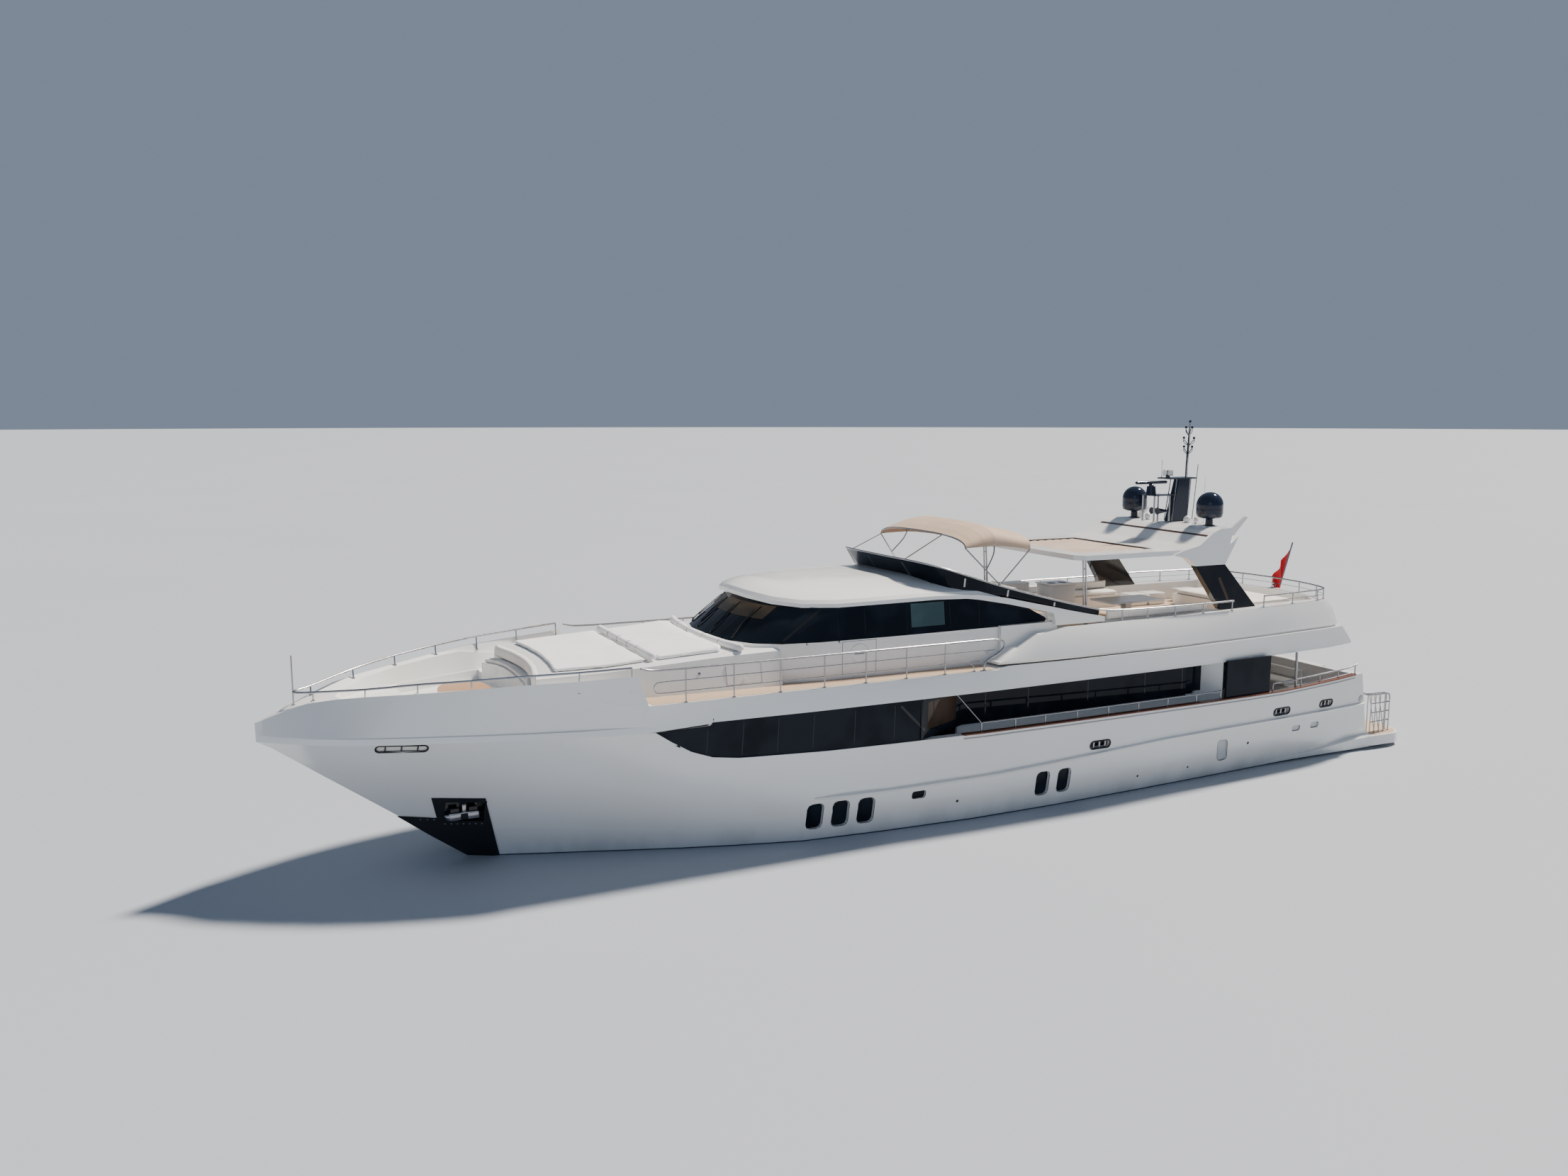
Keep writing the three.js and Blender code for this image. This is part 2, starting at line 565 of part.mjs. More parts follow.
// Saloon on the main deck: sides with a low wall, posts between the windows and a header, and an aft bulkhead
const WALL = 80;
const WINDOW_BASE_Z = 2330;
const HEADER_Z = 3180;
const SALOON_DOOR_HALF = 1000;
const WING_X0 = -9600;
const WING_X1 = -7950;

// Windows of the saloon's sides, aft and fore ends
const SALOON_WINDOWS = [[-9300, -7700], [-7500, -5800], [-5600, -3900], [-3700, -2000], [-1800, 60]];

function saloonHouse() {
  const floor = MAIN_DECK_Z + GAP;
  const ceiling = SALOON_CEILING_Z - GAP;
  const side = (s) => {
    const wall = sided(s, SALOON_AFT_X, WALKWAY_X, SALOON_Y - WALL, SALOON_Y, floor, ceiling);
    const windows = SALOON_WINDOWS.map(([x0, x1]) => sided(s, x0, x1, SALOON_Y - 200, SALOON_Y + 100,
      WINDOW_BASE_Z,
      HEADER_Z));
    return cut(wall, windows);
  };
  const foot = SALOON_Y - 30;
  const screens = [1, -1].map((s) => prismZ([[-7650, s * foot], [-7990, s * 2880], [-7990, s * 2820],
    [-7690, s * foot]], floor + 3, ceiling - 3));
  const bulkhead = box(SALOON_AFT_X + 3, SALOON_AFT_X + WALL, 10 - SALOON_Y, SALOON_Y - 10, floor + 3,
    ceiling - 3);
  const doorway = box(SALOON_AFT_X - 50, SALOON_AFT_X + WALL + 50, -SALOON_DOOR_HALF, SALOON_DOOR_HALF,
    MAIN_DECK_Z + 60, HEADER_Z - 80);
  return join([side(1), side(-1), cut(bulkhead, [doorway]), ...screens]);
}

// Black window band: flush with the hull's side forward, turning inboard at the walkway to the saloon's side
function mainGlass(side, hullSolid, upperSolid) {
  const top = 3330;
  const stations = [8200, 7850, 7400, 6900, 6300, 4500, 3000, 1700];
  const deckEdge = UPPER_EDGE.map(([x, y]) => [x, y]);
  const flush = loft(stations.map((x) => {
    const low = lerpAt(CAP_LINE, x) - 40;
    const high = Math.min(halfBreadth(x, top) - 35, lerpAt(deckEdge, x) - 15);
    return [[x, side * (halfBreadth(x, low) - 30), low], [x, side * high, top],
      [x, side * (high - 45), top], [x, side * (halfBreadth(x, low) - 75), low]];
  }));
  const y = halfBreadth(1700, 2800) - 40;
  const turn = prismZ([[1750, side * y], [WALKWAY_X - 120, side * (SALOON_Y + 45)],
    [WALKWAY_X - 120, side * (SALOON_Y + 5)], [1700, side * (y - 45)]], CAP_Z + 30, top);
  const y0 = side > 0 ? SALOON_Y + 5 : -SALOON_Y - 45;
  const inboard = box(-7150, WALKWAY_X - 60, y0, y0 + 40, WINDOW_BASE_Z - 30, top);
  const whole = join([flush, turn, inboard]);
  return clear(clear(whole, hullSolid, [0, 0, GAP]), upperSolid, [0, 0, -GAP], [0, GAP, 0], [0, -GAP, 0]);
}

function saloonDoor(side) {
  const y0 = side > 0 ? 10 : -SALOON_DOOR_HALF - 40;
  return box(SALOON_AFT_X - 50, SALOON_AFT_X - 10, y0, y0 + SALOON_DOOR_HALF + 30, MAIN_DECK_Z + RUN,
    HEADER_Z - 40);
}

function wingPanel(side, hullSolid, upperSolid) {
  const stations = [WING_X0, -8800, WING_X1];
  const panel = loft(stations.map((x) => {
    const outer = (z) => halfBreadth(x, z) - 60;
    return [[x, side * outer(2250), 2250], [x, side * (outer(3300) - 20), 3320], [x,
      side * (outer(3300) - 80), 3320],
      [x, side * (outer(2250) - 60), 2250]];
  }));
  return clear(clear(panel, hullSolid, [0, 0, GAP]), upperSolid, [0, 0, -GAP]);
}

// Rail on the bulwark: top tube, and posts down to what carries them
function railing(points, postFeet, extra = []) {
  const posts = postFeet.map(([x, y, z, top]) => rod([x, y, z], [x, y, top], POST_R, POST_R, 4));
  return join([tube(points), ...posts, ...extra]);
}

function capPoint(x, side, lift = 0) {
  const z = lerpAt(CAP_LINE, x);
  return [x, side * (halfBreadth(x, z) - 90), z + lift];
}

function walkwayRail(side, hullSolid, upperSolid) {
  const rise = 235;
  const xs = [WALKWAY_X - 200, -1900, -3900, -5900, -7800];
  const line = xs.map((x) => capPoint(x, side, rise));
  const feet = [0, -1000, -1900, -2900, -3900, -4900, -5900, -6900, -7780].map((x) => [...capPoint(x,
    side, -60),
    capPoint(x, side, rise)[2]]);
  const stay = tube([line[0], [WALKWAY_X + 500, side * 3020, 3400]], 12);
  const rail = railing(line, feet, [stay]);
  return clear(clear(rail, hullSolid, [0, 0, GAP]), upperSolid, [0, 0, -GAP]);
}

function cockpitRail(side, hullSolid, upperSolid) {
  const rise = 230;
  const xs = [-9750, -10900, -12000, -13050];
  const line = [...xs.map((x) => capPoint(x, side, rise)), capPoint(-13380, side, rise + 40)];
  const feet = [-9780, -10900, -11700, -12500, -13300].map((x) => [...capPoint(x, side, -60),
    capPoint(x, side, x < -13050 ? rise + 30 : rise)[2]]);
  const [px, py, pz] = capPoint(-10700, side, -60);
  const post = rod([px, py, pz], [px, py - side * 30, 3400], 38, 38, 8);
  return clear(clear(railing(line, feet, [post]), hullSolid, [0, 0, GAP]), upperSolid, [0, 0, -GAP]);
}

// Guard of the stern stairs: an upright frame with bars on the swim platform
function boardingRail(side) {
  const y = side * 2330;
  const [x0, x1] = [-15350, -14560];
  const foot = PLATFORM_TOP + GAP;
  const bars = [1560, 1280, 1000, 720].map((z) => tube([[x0, y, z], [x1, y, z]], POST_R, 4));
  const posts = [x0, (x0 + x1) / 2, x1].map((x) => rod([x, y, foot], [x, y, 1560], 20, 20, 4));
  return join([...bars, ...posts]);
}

// Raised trunk on the foredeck: hollowed bow seat in front, sunbed on top, running back to the windscreen
// Columns: x, half-width at the deck, half-width on top, top height
const TRUNK = [[10650, 2110, 2030, 4410], [9000, 2260, 2140, 4450], [7950, 2340, 2190, 4500],
  [6500, 2430, 2250, 4580], [5000, 2450, 2290, 4620]];
const SEAT_Z = 4040;
const SEAT_HALF = 1850;
const BACKREST_X = 10250; // on the centreline
const SEAT_FRONT_X = 10570;
const SEAT_REACH = 350; // how far its ends come forward

// The front edges are hollow in plan. x of a line that comes forward by reach at the seat's ends
function hollowX(x, reach, y, power = 2) {
  return x + reach * Math.abs(y / SEAT_HALF) ** power;
}

function hollowLine(x, reach, half, power, steps = 9) {
  return Array.from({ length: steps }, (_, i) => {
    const y = half - (2 * half * i) / (steps - 1);
    return [hollowX(x, reach, y, power), y];
  });
}

// Outline of the bow seat, smaller by margin at its front and ends
function seatOutline(margin, back) {
  const half = SEAT_HALF - margin;
  return [...hollowLine(SEAT_FRONT_X - margin, SEAT_REACH, half, 4), ...hollowLine(back, 255, half, 2).reverse()];
}

function foredeckTrunk() {
  const rings = TRUNK.map(([x, low, high, top]) => [[x, low, SIDE_DECK_Z + GAP], [x, high, top - 60],
    [x, high - 90, top], [x, -high + 90, top], [x, -high, top - 60], [x, -low, SIDE_DECK_Z + GAP]]);
  const ahead = prismZ([...hollowLine(BACKREST_X, 255, 2300, 2), [11500, -2300], [11500, 2300]], 3500, 5000);
  const seat = prismZ(seatOutline(0, BACKREST_X - 100), SIDE_DECK_Z + GAP, SEAT_Z);
  const lockers = [1, -1].map(lockerSpace);
  const house = loft([SIDE_DECK_Z - 50, 5000].map((z) => planRing(inset(WHEELHOUSE_PLAN, -GAP, -950), z)),
    'z');
  return cut(join([cut(loft(rings), [ahead]), seat]), [...lockers, house]);
}

// Lockers in the trunk's sides. The lid lies flush in the sloping side: y at its foot and at its top
const LOCKER = { x0: 5500, x1: 6350, z0: 3900, z1: 4330, yFoot: 2406, yTop: 2318, thick: 28 };
const LID_GAP = 8;

// Opening in the trunk's side, larger than its lid all round
function lockerSpace(side) {
  return sided(side, LOCKER.x0 - LID_GAP, LOCKER.x1 + LID_GAP, 1950, 2700, LOCKER.z0 - LID_GAP,
    LOCKER.z1 + LID_GAP);
}

function lockerDoor(side) {
  const outline = [[LOCKER.yFoot, LOCKER.z0], [LOCKER.yTop, LOCKER.z1], [LOCKER.yTop - LOCKER.thick,
    LOCKER.z1],
    [LOCKER.yFoot - LOCKER.thick, LOCKER.z0]];
  const lid = prismX(outline.map(([y, z]) => [side * y, z]), LOCKER.x0, LOCKER.x1);
  const x = (LOCKER.x0 + LOCKER.x1) / 2;
  const y = LOCKER.yFoot - 22;
  const pinY = side * (LOCKER.yTop - LOCKER.thick / 2);
  const pinZ = LOCKER.z1 - 9;
  const pin = rod([LOCKER.x0 - LID_GAP + GAP, pinY, pinZ], [LOCKER.x1 + LID_GAP - GAP, pinY, pinZ], 8);
  const latch = rod([x, side * (y - 10), LOCKER.z0 + 100], [x, side * (y + 16), LOCKER.z0 + 104], 28, 28, 10);
  return join([lid, pin, latch]);
}

const ROLL_R = 85;
const PAD_JOINT_Z = 4530; // low strip between the sunpad's two halves

function sunpad() {
  const front = hollowLine(10000, 150, 1850, 2);
  const raised = prismZ([[8080, 1950], [9000, 1990], ...front, [9000, -1990], [8080, -1950]], 4300, 4540);
  const aft = prismZ([[6180, 2050], [7820, 1960], [7820, -1960], [6180, -2050], [6290, 0]], 4400, 4680);
  const bridge = box(7800, 8100, -1850, 1850, 4450, PAD_JOINT_Z);
  return join([raised, aft, bridge]);
}

// Rolled cover across the trunk; its ends lie aft of its middle by bend
function coverRoll(x, half, z, bend) {
  const shares = [-1, -0.67, -0.33, 0, 0.33, 0.67, 1];
  return tube(shares.map((t) => [x - bend * t * t, half * t, z]), ROLL_R, 8);
}

function bowCushion() {
  return prismZ(seatOutline(30, BACKREST_X + 8), SEAT_Z + GAP, SEAT_Z + 110);
}

// Oval table ahead of the seat
const TABLE = { x: 11650, halfLength: 580, halfWidth: 1020, z0: 3765, z1: 3810 };

function bowTable() {
  const outline = Array.from({ length: 24 }, (_, i) => {
    const a = (Math.PI * i) / 12;
    const swell = (value) => Math.sign(value) * Math.abs(value) ** 0.8;
    return [TABLE.x + TABLE.halfLength * swell(Math.cos(a)), TABLE.halfWidth * swell(Math.sin(a))];
  });
  const top = prismZ(outline, TABLE.z0, TABLE.z1);
  const column = rod([TABLE.x, 0, BOW_FLOOR_Z + 30], [TABLE.x, 0, TABLE.z0 + 10], 90, 70, 12);
  const foot = rod([TABLE.x, 0, BOW_FLOOR_Z + GAP], [TABLE.x, 0, BOW_FLOOR_Z + 40], 230, 230, 12);
  return join([top, column, foot]);
}

// Foredeck rail: columns x, y, foot height, rail height
const BOW_RAIL = [[14850, 340, 3920, 4150], [13900, 1140, 4090, 4280], [12930, 1690, 4170, 4400],
  [11930, 2170, 4260, 4480], [10890, 2550, 4330, 4550], [9850, 2840, 4370, 4590], [8790, 3080, 4410, 4640]];

function foredeckRail(upperSolid) {
  const half = BOW_RAIL.map(([x, y, , z]) => [x, y, z]);
  const nose = [[15120, 150, 4130], [15220, 0, 4125], [15120, -150, 4130]];
  const port = half.slice().reverse();
  const line = [...port, ...nose, ...half.map(([x, y, z]) => [x, -y, z])];
  const posts = BOW_RAIL.flatMap(([x, y, foot, z]) => [1, -1].map((side) =>
    rod([x, side * (y - 60), foot], [x, side * y, z], POST_R, POST_R, 4)));
  const jackstaff = rod([15220, 0, 3700], [15220, 0, 4900], 14, 10, 6);
  return clear(join([tube(line), ...posts, jackstaff]), upperSolid, [0, 0, GAP]);
}

const SIDE_RAIL_Y = 3050;
const SIDE_RAIL_Z = 4520;

function sideRail(side) {
  const y = side * SIDE_RAIL_Y;
  const foot = SIDE_DECK_Z + GAP;
  const line = [[8600, side * 3085, 4610], [8300, y, 4540], [7580, y, SIDE_RAIL_Z], [-450, y, SIDE_RAIL_Z],
    [-640, y, 4460], [-660, y, 4350], [-100, y, 3990], [-90, y, 3900], [-90, y, foot]];
  const feet = [7580, 6460, 5340, 4240, 3170, 2090, 1030].map((x) => [x, y, foot, SIDE_RAIL_Z]);
  const wires = [4030, 4270].map((z) => tube([[7580, y, z], [200, y, z], [60, y, 4060]], 9, 4));
  const front = tube([[7580, y, 4030], [8180, y, 4030], [8280, y, 4150], [8180, y, 4270], [7580, y,
    4270]], 9, 4);
  return railing(line, feet, [...wires, front]);
}

// Wheelhouse: plan of its walls from the aft end to the front, port side
const WHEELHOUSE_PLAN = [[-900, 2450], [2000, 2480], [4000, 2440], [4950, 2280], [5500, 1900], [5850, 1300],
  [6020, 650], [6060, 0]];
const WINDSCREEN_TOP = [[-900, 2330], [2000, 2360], [3300, 2300], [4000, 2050], [4500, 1600], [4750, 1050],
  [4870, 500], [4900, 0]];
const GLASS_TOP_Z = 5560;

// The outline moved inward by distance, in plan, open at its aft end
function inset(half, distance, aftX) {
  return half.map(([x, y], i) => {
    const [ax, ay] = half[Math.max(i - 1, 0)];
    const [bx, by] = half[Math.min(i + 1, half.length - 1)];
    const length = Math.hypot(bx - ax, by - ay);
    if (i === 0) return [aftX, y - distance];
    if (i === half.length - 1) return [x - distance, 0];
    return [x + (distance * (by - ay)) / length, y - (distance * (bx - ax)) / length];
  });
}

function planRing(half, z) {
  const port = half.map(([x, y]) => [x, y, z]);
  return [...port, ...port.slice(0, -1).reverse().map(([x, y, pz]) => [x, -y, pz])];
}

function wheelhouse() {
  const outer = loft([planRing(WHEELHOUSE_PLAN, SIDE_DECK_Z + GAP), planRing(WHEELHOUSE_PLAN, SILL_Z)], 'z');
  const room = inset(WHEELHOUSE_PLAN, 90, -820);
  const inner = loft([planRing(room, SIDE_DECK_Z + 60), planRing(room, SILL_Z + 10)], 'z');
  const aftWall = box(-900, -820, -2250, 2250, SIDE_DECK_Z + 100, 5480);
  return cut(outer, [inner]).add(aftWall);
}

// What the side glass covers in side view, down to its pointed aft end
const GLASS_SIDE = [[7000, 4600], [7000, 5650], [-560, 5650], [-560, 5420], [-860, 5350], [-1700, 5160],
  [-2080, 4960],
  [-2330, 4830], [-2370, 4780], [-2320, 4720], [-2200, 4600]];

function wheelhouseGlass(roofSolid, flySolid) {
  const lengthen = (half) => [[-2500, half[0][1] - 10], ...half.slice(1)];
  const low = inset(lengthen(WHEELHOUSE_PLAN), 12, -2500);
  const lowInner = inset(lengthen(WHEELHOUSE_PLAN), 62, -2600);
  const high = inset(lengthen(WINDSCREEN_TOP), 0, -2500);
  const highInner = inset(lengthen(WINDSCREEN_TOP), 50, -2600);
  const outer = loft([planRing(low, SILL_Z + GAP), planRing(high, GLASS_TOP_Z)], 'z');
  const inner = loft([planRing(lowInner, SILL_Z - 5), planRing(highInner, GLASS_TOP_Z + 5)], 'z');
  const shell = cut(outer, [inner]).intersect(prismY(GLASS_SIDE, -3000, 3000));
  const below = clear(shell, roofSolid, [0, 0, -GAP], [0, GAP, 0], [0, -GAP, 0]);
  return clear(below, flySolid, [0, 0, GAP], [0, GAP, 0], [0, -GAP, 0]);
}

// Roof of the wheelhouse: columns x, half-width, height of the brim
const ROOF_EDGE = [[-950, 2432, 5380], [-300, 2436, 5500], [900, 2440, 5545], [2200, 2425, 5535],
  [3500, 2310, 5510], [4300, 2000, 5515], [4850, 1500, 5570], [5200, 850, 5650], [5320, 0, 5690]];
const ROOF_CROWN_Z = 5960;
const CEILING_Z = 5320; // nothing of the roof comes lower, apart from its arms
// Section of the roof from under the brim to the crown: columns distance in from the brim, height over it
const ROOF_RISE = [[260, -90], [0, -60], [0, 30], [70, 110], [260, 195], [600, 285]];
// Arms that sweep down aft on both sides: columns x, outer edge, underside, top
const ROOF_ARM = [[300, 2438, 5490, 5555], [-300, 2475, 5410, 5530], [-1100, 2580, 5260, 5405],
  [-1900, 2650, 5075, 5225], [-2400, 2690, 4965, 5115], [-2480, 2695, 4650, 5097], [-2800, 2720, 4650, 5020],
  [-3500, 2750, 4650, 4870], [-3950, 2770, 4655, 4780]];
const ARM_WIDTH = 300;
// Hollow in its top behind the flybridge screen: x, z
const ROOF_WELL = [[-1000, 5530], [-300, 5540], [300, 5660], [650, 5800], [650, 6300], [-1000, 6300]];

function wheelhouseRoof(flySolid, wheelhouseSolid) {
  const edge = ROOF_EDGE.map(([x, y]) => [x, y]);
  const level = (distance, lift, z) => {
    const moved = inset(edge, distance, -950);
    const port = moved.map(([x, y], i) => [x, Math.max(y, 0), z ?? Math.max(ROOF_EDGE[i][2] + lift, CEILING_Z)]);
    return [...port, ...port.slice(0, -1).reverse().map(([x, y, pz]) => [x, -y, pz])];
  };
  const rise = ROOF_RISE.map(([distance, lift]) => level(distance, lift));
  const cap = loft([...rise, level(1100, 0, ROOF_CROWN_Z - 30), level(1600, 0, ROOF_CROWN_Z)], 'z');
  const arms = [1, -1].map((side) => loft(ROOF_ARM.map(([x, y, z0, z1]) => [[x, side * y, z0],
    [x, side * y, z1], [x, side * (y - ARM_WIDTH), z1], [x, side * (y - ARM_WIDTH), z0]])));
  const whole = join([cut(cap, [prismY(ROOF_WELL, -1700, 1700)]), ...arms]);
  return clear(clear(whole, flySolid, [0, 0, GAP]), wheelhouseSolid, [0, 0, GAP]);
}

function helmStation() {
  const floor = SIDE_DECK_Z + 60 + GAP;
  const console = prismY([[4300, floor], [4300, 4500], [4500, 4700], [5100, 4640], [5250, floor]], -1500,
    1500);
  const seat = join([box(3200, 3700, -900, 900, 4300, 4420), box(3150, 3270, -900, 900, 4400, 4900),
    box(3350, 3550, -200, 200, floor + 5, 4310), box(3340, 4400, -150, 150, floor, 3900)]);
  return console.add(seat);
}

// Flybridge moulding: columns base x, y; top x, y, z; from the stern's centre to its forward corner, port side
const FLY_EDGE = [
  [-13250, 0, -12850, 0, 4640],
  [-13150, 1200, -12750, 1150, 4640],
  [-12950, 2080, -12550, 1960, 4640],
  [-12640, 2560, -12250, 2470, 4640],
  [-12200, 2670, -11900, 2590, 4640],
  [-9540, 2930, -9540, 2790, 4640],
  [-7200, 3090, -7200, 2890, 4640],
  [-5400, 3190, -5400, 2940, 4640],
  [-3900, 3190, -3900, 2930, 4640],
  [-2600, 3170, -2600, 2920, 4640],
  [-1700, 3140, -1750, 2930, 4500],
  [-1000, 3100, -1100, 2950, 4180],
  [-550, 3050, -650, 2940, 3930],
  [-500, 2560, -620, 2560, 3930],
];
const FLY_BASE_Z = BAND_TOP_Z + GAP;
const FLY_WELL = [[-960, 2200], [-3000, 2420], [-5400, 2500], [-7200, 2400], [-9540, 2290], [-11900, 2250],
  [-12250, 1700], [-12430, 0]];

function flybridge(upperSolid) {
  const base = ringOf(FLY_EDGE, ([x, y]) => [x, y * 0.975, FLY_BASE_Z]);
  const grooveTop = ringOf(FLY_EDGE, ([x, y]) => [x, y * 0.975, FLY_BASE_Z + 50]);
  const edge = ringOf(FLY_EDGE, ([x, y]) => [x, y, FLY_BASE_Z + 65]);
  const bulge = ringOf(FLY_EDGE, ([x, y, tx, ty, tz]) => [(x + tx) / 2, (y * 1.2 + ty * 0.8) / 2,
    FLY_BASE_Z + 70 + (tz - FLY_BASE_Z - 70) * 0.6]);
  const top = ringOf(FLY_EDGE, ([, , x, y, z]) => [x, y, z]);
  const block = loft([base, grooveTop, edge, bulge, top], 'z');
  const well = prismZ(bothSides(FLY_WELL), FLY_FLOOR_Z, 5000);
  const helmFloor = prismZ([[-905, 2190], [-3000, 2250], [-3000, -2250], [-905, -2190]], FLY_FLOOR_Z - 20,
    HELM_FLOOR_Z);
  const step = box(-3300, -2990, -800, 800, FLY_FLOOR_Z - 20, 4500);
  const cheek = [[-905, 3900], [-905, 4720], [-2420, 4720], [-2600, 4640], [-2600, 3900]];
  const cheeks = [prismY(cheek, 2180, 2560), prismY(cheek, -2560, -2180)];
  const sofaPort = box(-7900, -4300, 1850, 2550, FLY_FLOOR_Z - 20, 4480);
  const sofaStarboard = box(-8300, -5200, -2550, -1750, FLY_FLOOR_Z - 20, 4480);
  const bar = box(-4900, -4100, -2450, -1700, FLY_FLOOR_Z - 20, 5050);
  const table = join([box(-7300, -5500, 300, 1250, 4760, 4810), box(-6500, -6300, 650, 850,
    FLY_FLOOR_Z - 20, 4780)]);
  const sunbed = box(-12000, -10200, -1500, 1500, FLY_FLOOR_Z - 20, 4420);
  const whole = join([cut(block, [well]), helmFloor, step, ...cheeks, sofaPort, sofaStarboard, bar, table,
    sunbed]);
  const inside = planRing(inset(WHEELHOUSE_PLAN, -GAP, -900 - GAP), SIDE_DECK_Z - 50);
  const room = loft([inside, inside.map(([x, y]) => [x, y, 4900])], 'z');
  return clear(cut(whole, [room]), upperSolid, [0, 0, GAP]);
}

// Dark flybridge screen: columns base x, y, z; top x, y, z; from the centre to its aft end, port side
const SCREEN = [
  [950, 0, 5870, 1350, 0, 6370],
  [930, 700, 5860, 1330, 720, 6365],
  [850, 1400, 5810, 1240, 1430, 6350],
  [680, 1880, 5720, 1030, 1930, 6300],
  [380, 2180, 5600, 600, 2240, 6180],
  [50, 2290, 5500, 110, 2360, 6020],
  [-1080, 2400, 5330, -1080, 2470, 5640],
  [-2700, 2560, 4950, -2700, 2610, 5200],
  [-3850, 2620, 4720, -3850, 2670, 4930],
];

function screenRing(pick, move) {
  const port = SCREEN.slice().reverse().map(pick);
  const outer = [...port, ...port.slice(0, -1).reverse().map(([x, y, z]) => [x, -y, z])];
  return outer.map(([x, y, z]) => [x - move * (x > 0 ? 1 : 0), y - move * Math.sign(Math.round(y / 100)), z]);
}

function flyScreen(roofSolid, flySolid) {
  const thick = 30;
  const low = (move) => screenRing(([x, y, z]) => [x, y, z], move);
  const high = (move) => screenRing(([, , , x, y, z]) => [x, y, z], move);
  const rings = [low(0), high(0), high(thick), low(thick)];
  const strips = rings[0].map((_, i) => rings.map((ring) => ring[i]));
  const above = clear(loft(strips, 'x'), roofSolid, [0, 0, GAP], [0, GAP, 0], [0, -GAP, 0]);
  return clear(above, flySolid, [0, 0, GAP], [0, GAP, 0], [0, -GAP, 0]);
}

function flyScreenRail(flySolid, roofSolid) {
  const lift = RAIL_R + 8;
  const port = SCREEN.slice().reverse().map(([, , , x, y, z]) => [x - (x > 0 ? 15 : 0), Math.max(y - 15,
    0), z + lift]);
  const aft = [[-8300, 2820, 4905], [-6200, 2880, 4905], [-4500, 2790, 4915]];
  const half = [...aft, ...port];
  const line = [...half, ...half.slice(0, -1).reverse().map(([x, y, z]) => [x, -y, z])];
  const feet = [-8250, -7200, -6200, -5300, -4500].flatMap((x) => {
    const y = lerpAt([[-8300, 2820], [-6200, 2880], [-4500, 2790]], x);
    return [[x, y, 4580, 4905], [x, -y, 4580, 4905]];
  });
  return clear(clear(railing(line, feet), flySolid, [0, 0, GAP]), roofSolid, [0, 0, GAP]);
}

const STAFF_R = 18;

// Point on the raked flagstaff at height z
function staffPoint(z) {
  return [-12990 - (z - 4400) * 0.33, 0, z];
}

function flyAftRail(flySolid) {
  const half = [[-9500, 2740], [-10700, 2640], [-11800, 2520], [-12200, 2380], [-12460, 1900], [-12660, 1100],
    [-12750, 0]];
  const line = [...half, ...half.slice(0, -1).reverse().map(([x, y]) => [x, -y])].map(([x, y]) => [x, y,
    4950]);
  const feet = [...half.slice(0, -1), ...half.slice(0, -1).map(([x, y]) => [x, -y])].map(([x, y]) =>
    [x, y, 4580, 4950]);
  const staff = rod(staffPoint(4300), staffPoint(5980), STAFF_R, STAFF_R, 6);
  const socket = tube([[-12750, 0, 4720], staffPoint(4720)], 14, 6);
  const middle = rod([-12750, 0, 4560], [-12750, 0, 4950], POST_R, POST_R, 4);
  return clear(railing(line, feet, [staff, socket, middle]), flySolid, [0, 0, GAP], [-GAP, 0, 0]);
}

// Flag hanging in folds, forward and to starboard of its staff. Columns: z, width, depth of the folds
const FLAG = [[4800, 250, 40], [5000, 320, 60], [5300, 420, 60], [5600, 400, 50], [5880, 250, 25]];

function ensign() {
  return loft(FLAG.map(([z, width, fold]) => {
    const [sx, sy] = staffPoint(z);
    const front = [0, 1, 2, 3, 4, 5, 6].map((i) => {
      const along = STAFF_R - 1 + GAP + (width * i) / 6;
      const across = (i === 0 ? 0 : fold) * Math.sin(i * 1.9);
      return [sx + along * 0.9 + across * 0.43, sy - along * 0.43 + across * 0.9];
    });
    const back = front.slice().reverse().map(([x, y]) => [x - 7, y - 15]);
    return [...front, ...back].map(([x, y]) => [x, y, z]);
  }), 'z');
}

// Helm of the flybridge: pod that leans forward over the roof, and a low bench behind it
function flyHelm(roofSolid) {
  const floor = HELM_FLOOR_Z + GAP;
  const pod = prismY([[-980, floor], [-1250, floor], [-1250, 5500], [-800, 5680], [-150, 5860], [200, 6030],
    [600, 6180], [800, 6120], [700, 5820], [-980, 5545]], -1250, -150);
  const seat = box(-2500, -1900, -1400, 900, HELM_FLOOR_Z + 200, 5230);
  const back = box(-2560, -2440, -1400, 900, 5150, 5360);
  const plinth = box(-2400, -2000, -1300, 800, floor, 5150);
  const footboard = box(-2400, -1100, -400, -300, floor, 4960);
  return clear(join([pod, seat, back, plinth, footboard]), roofSolid, [0, 0, GAP], [-GAP, 0, 0]);
}

// Hardtop: flat roof with a sunroof opening, rising aft into an arch whose sides come down to the pillars
const HARDTOP_PLAN = [[-3480, 2050], [-3700, 2280], [-6500, 2330], [-7400, 2350], [-7400, -2350], [-6500,
  -2330],
  [-3700, -2280], [-3480, -2050]];
const SUNROOF = { x0: -6450, x1: -4000, y: 1650 };

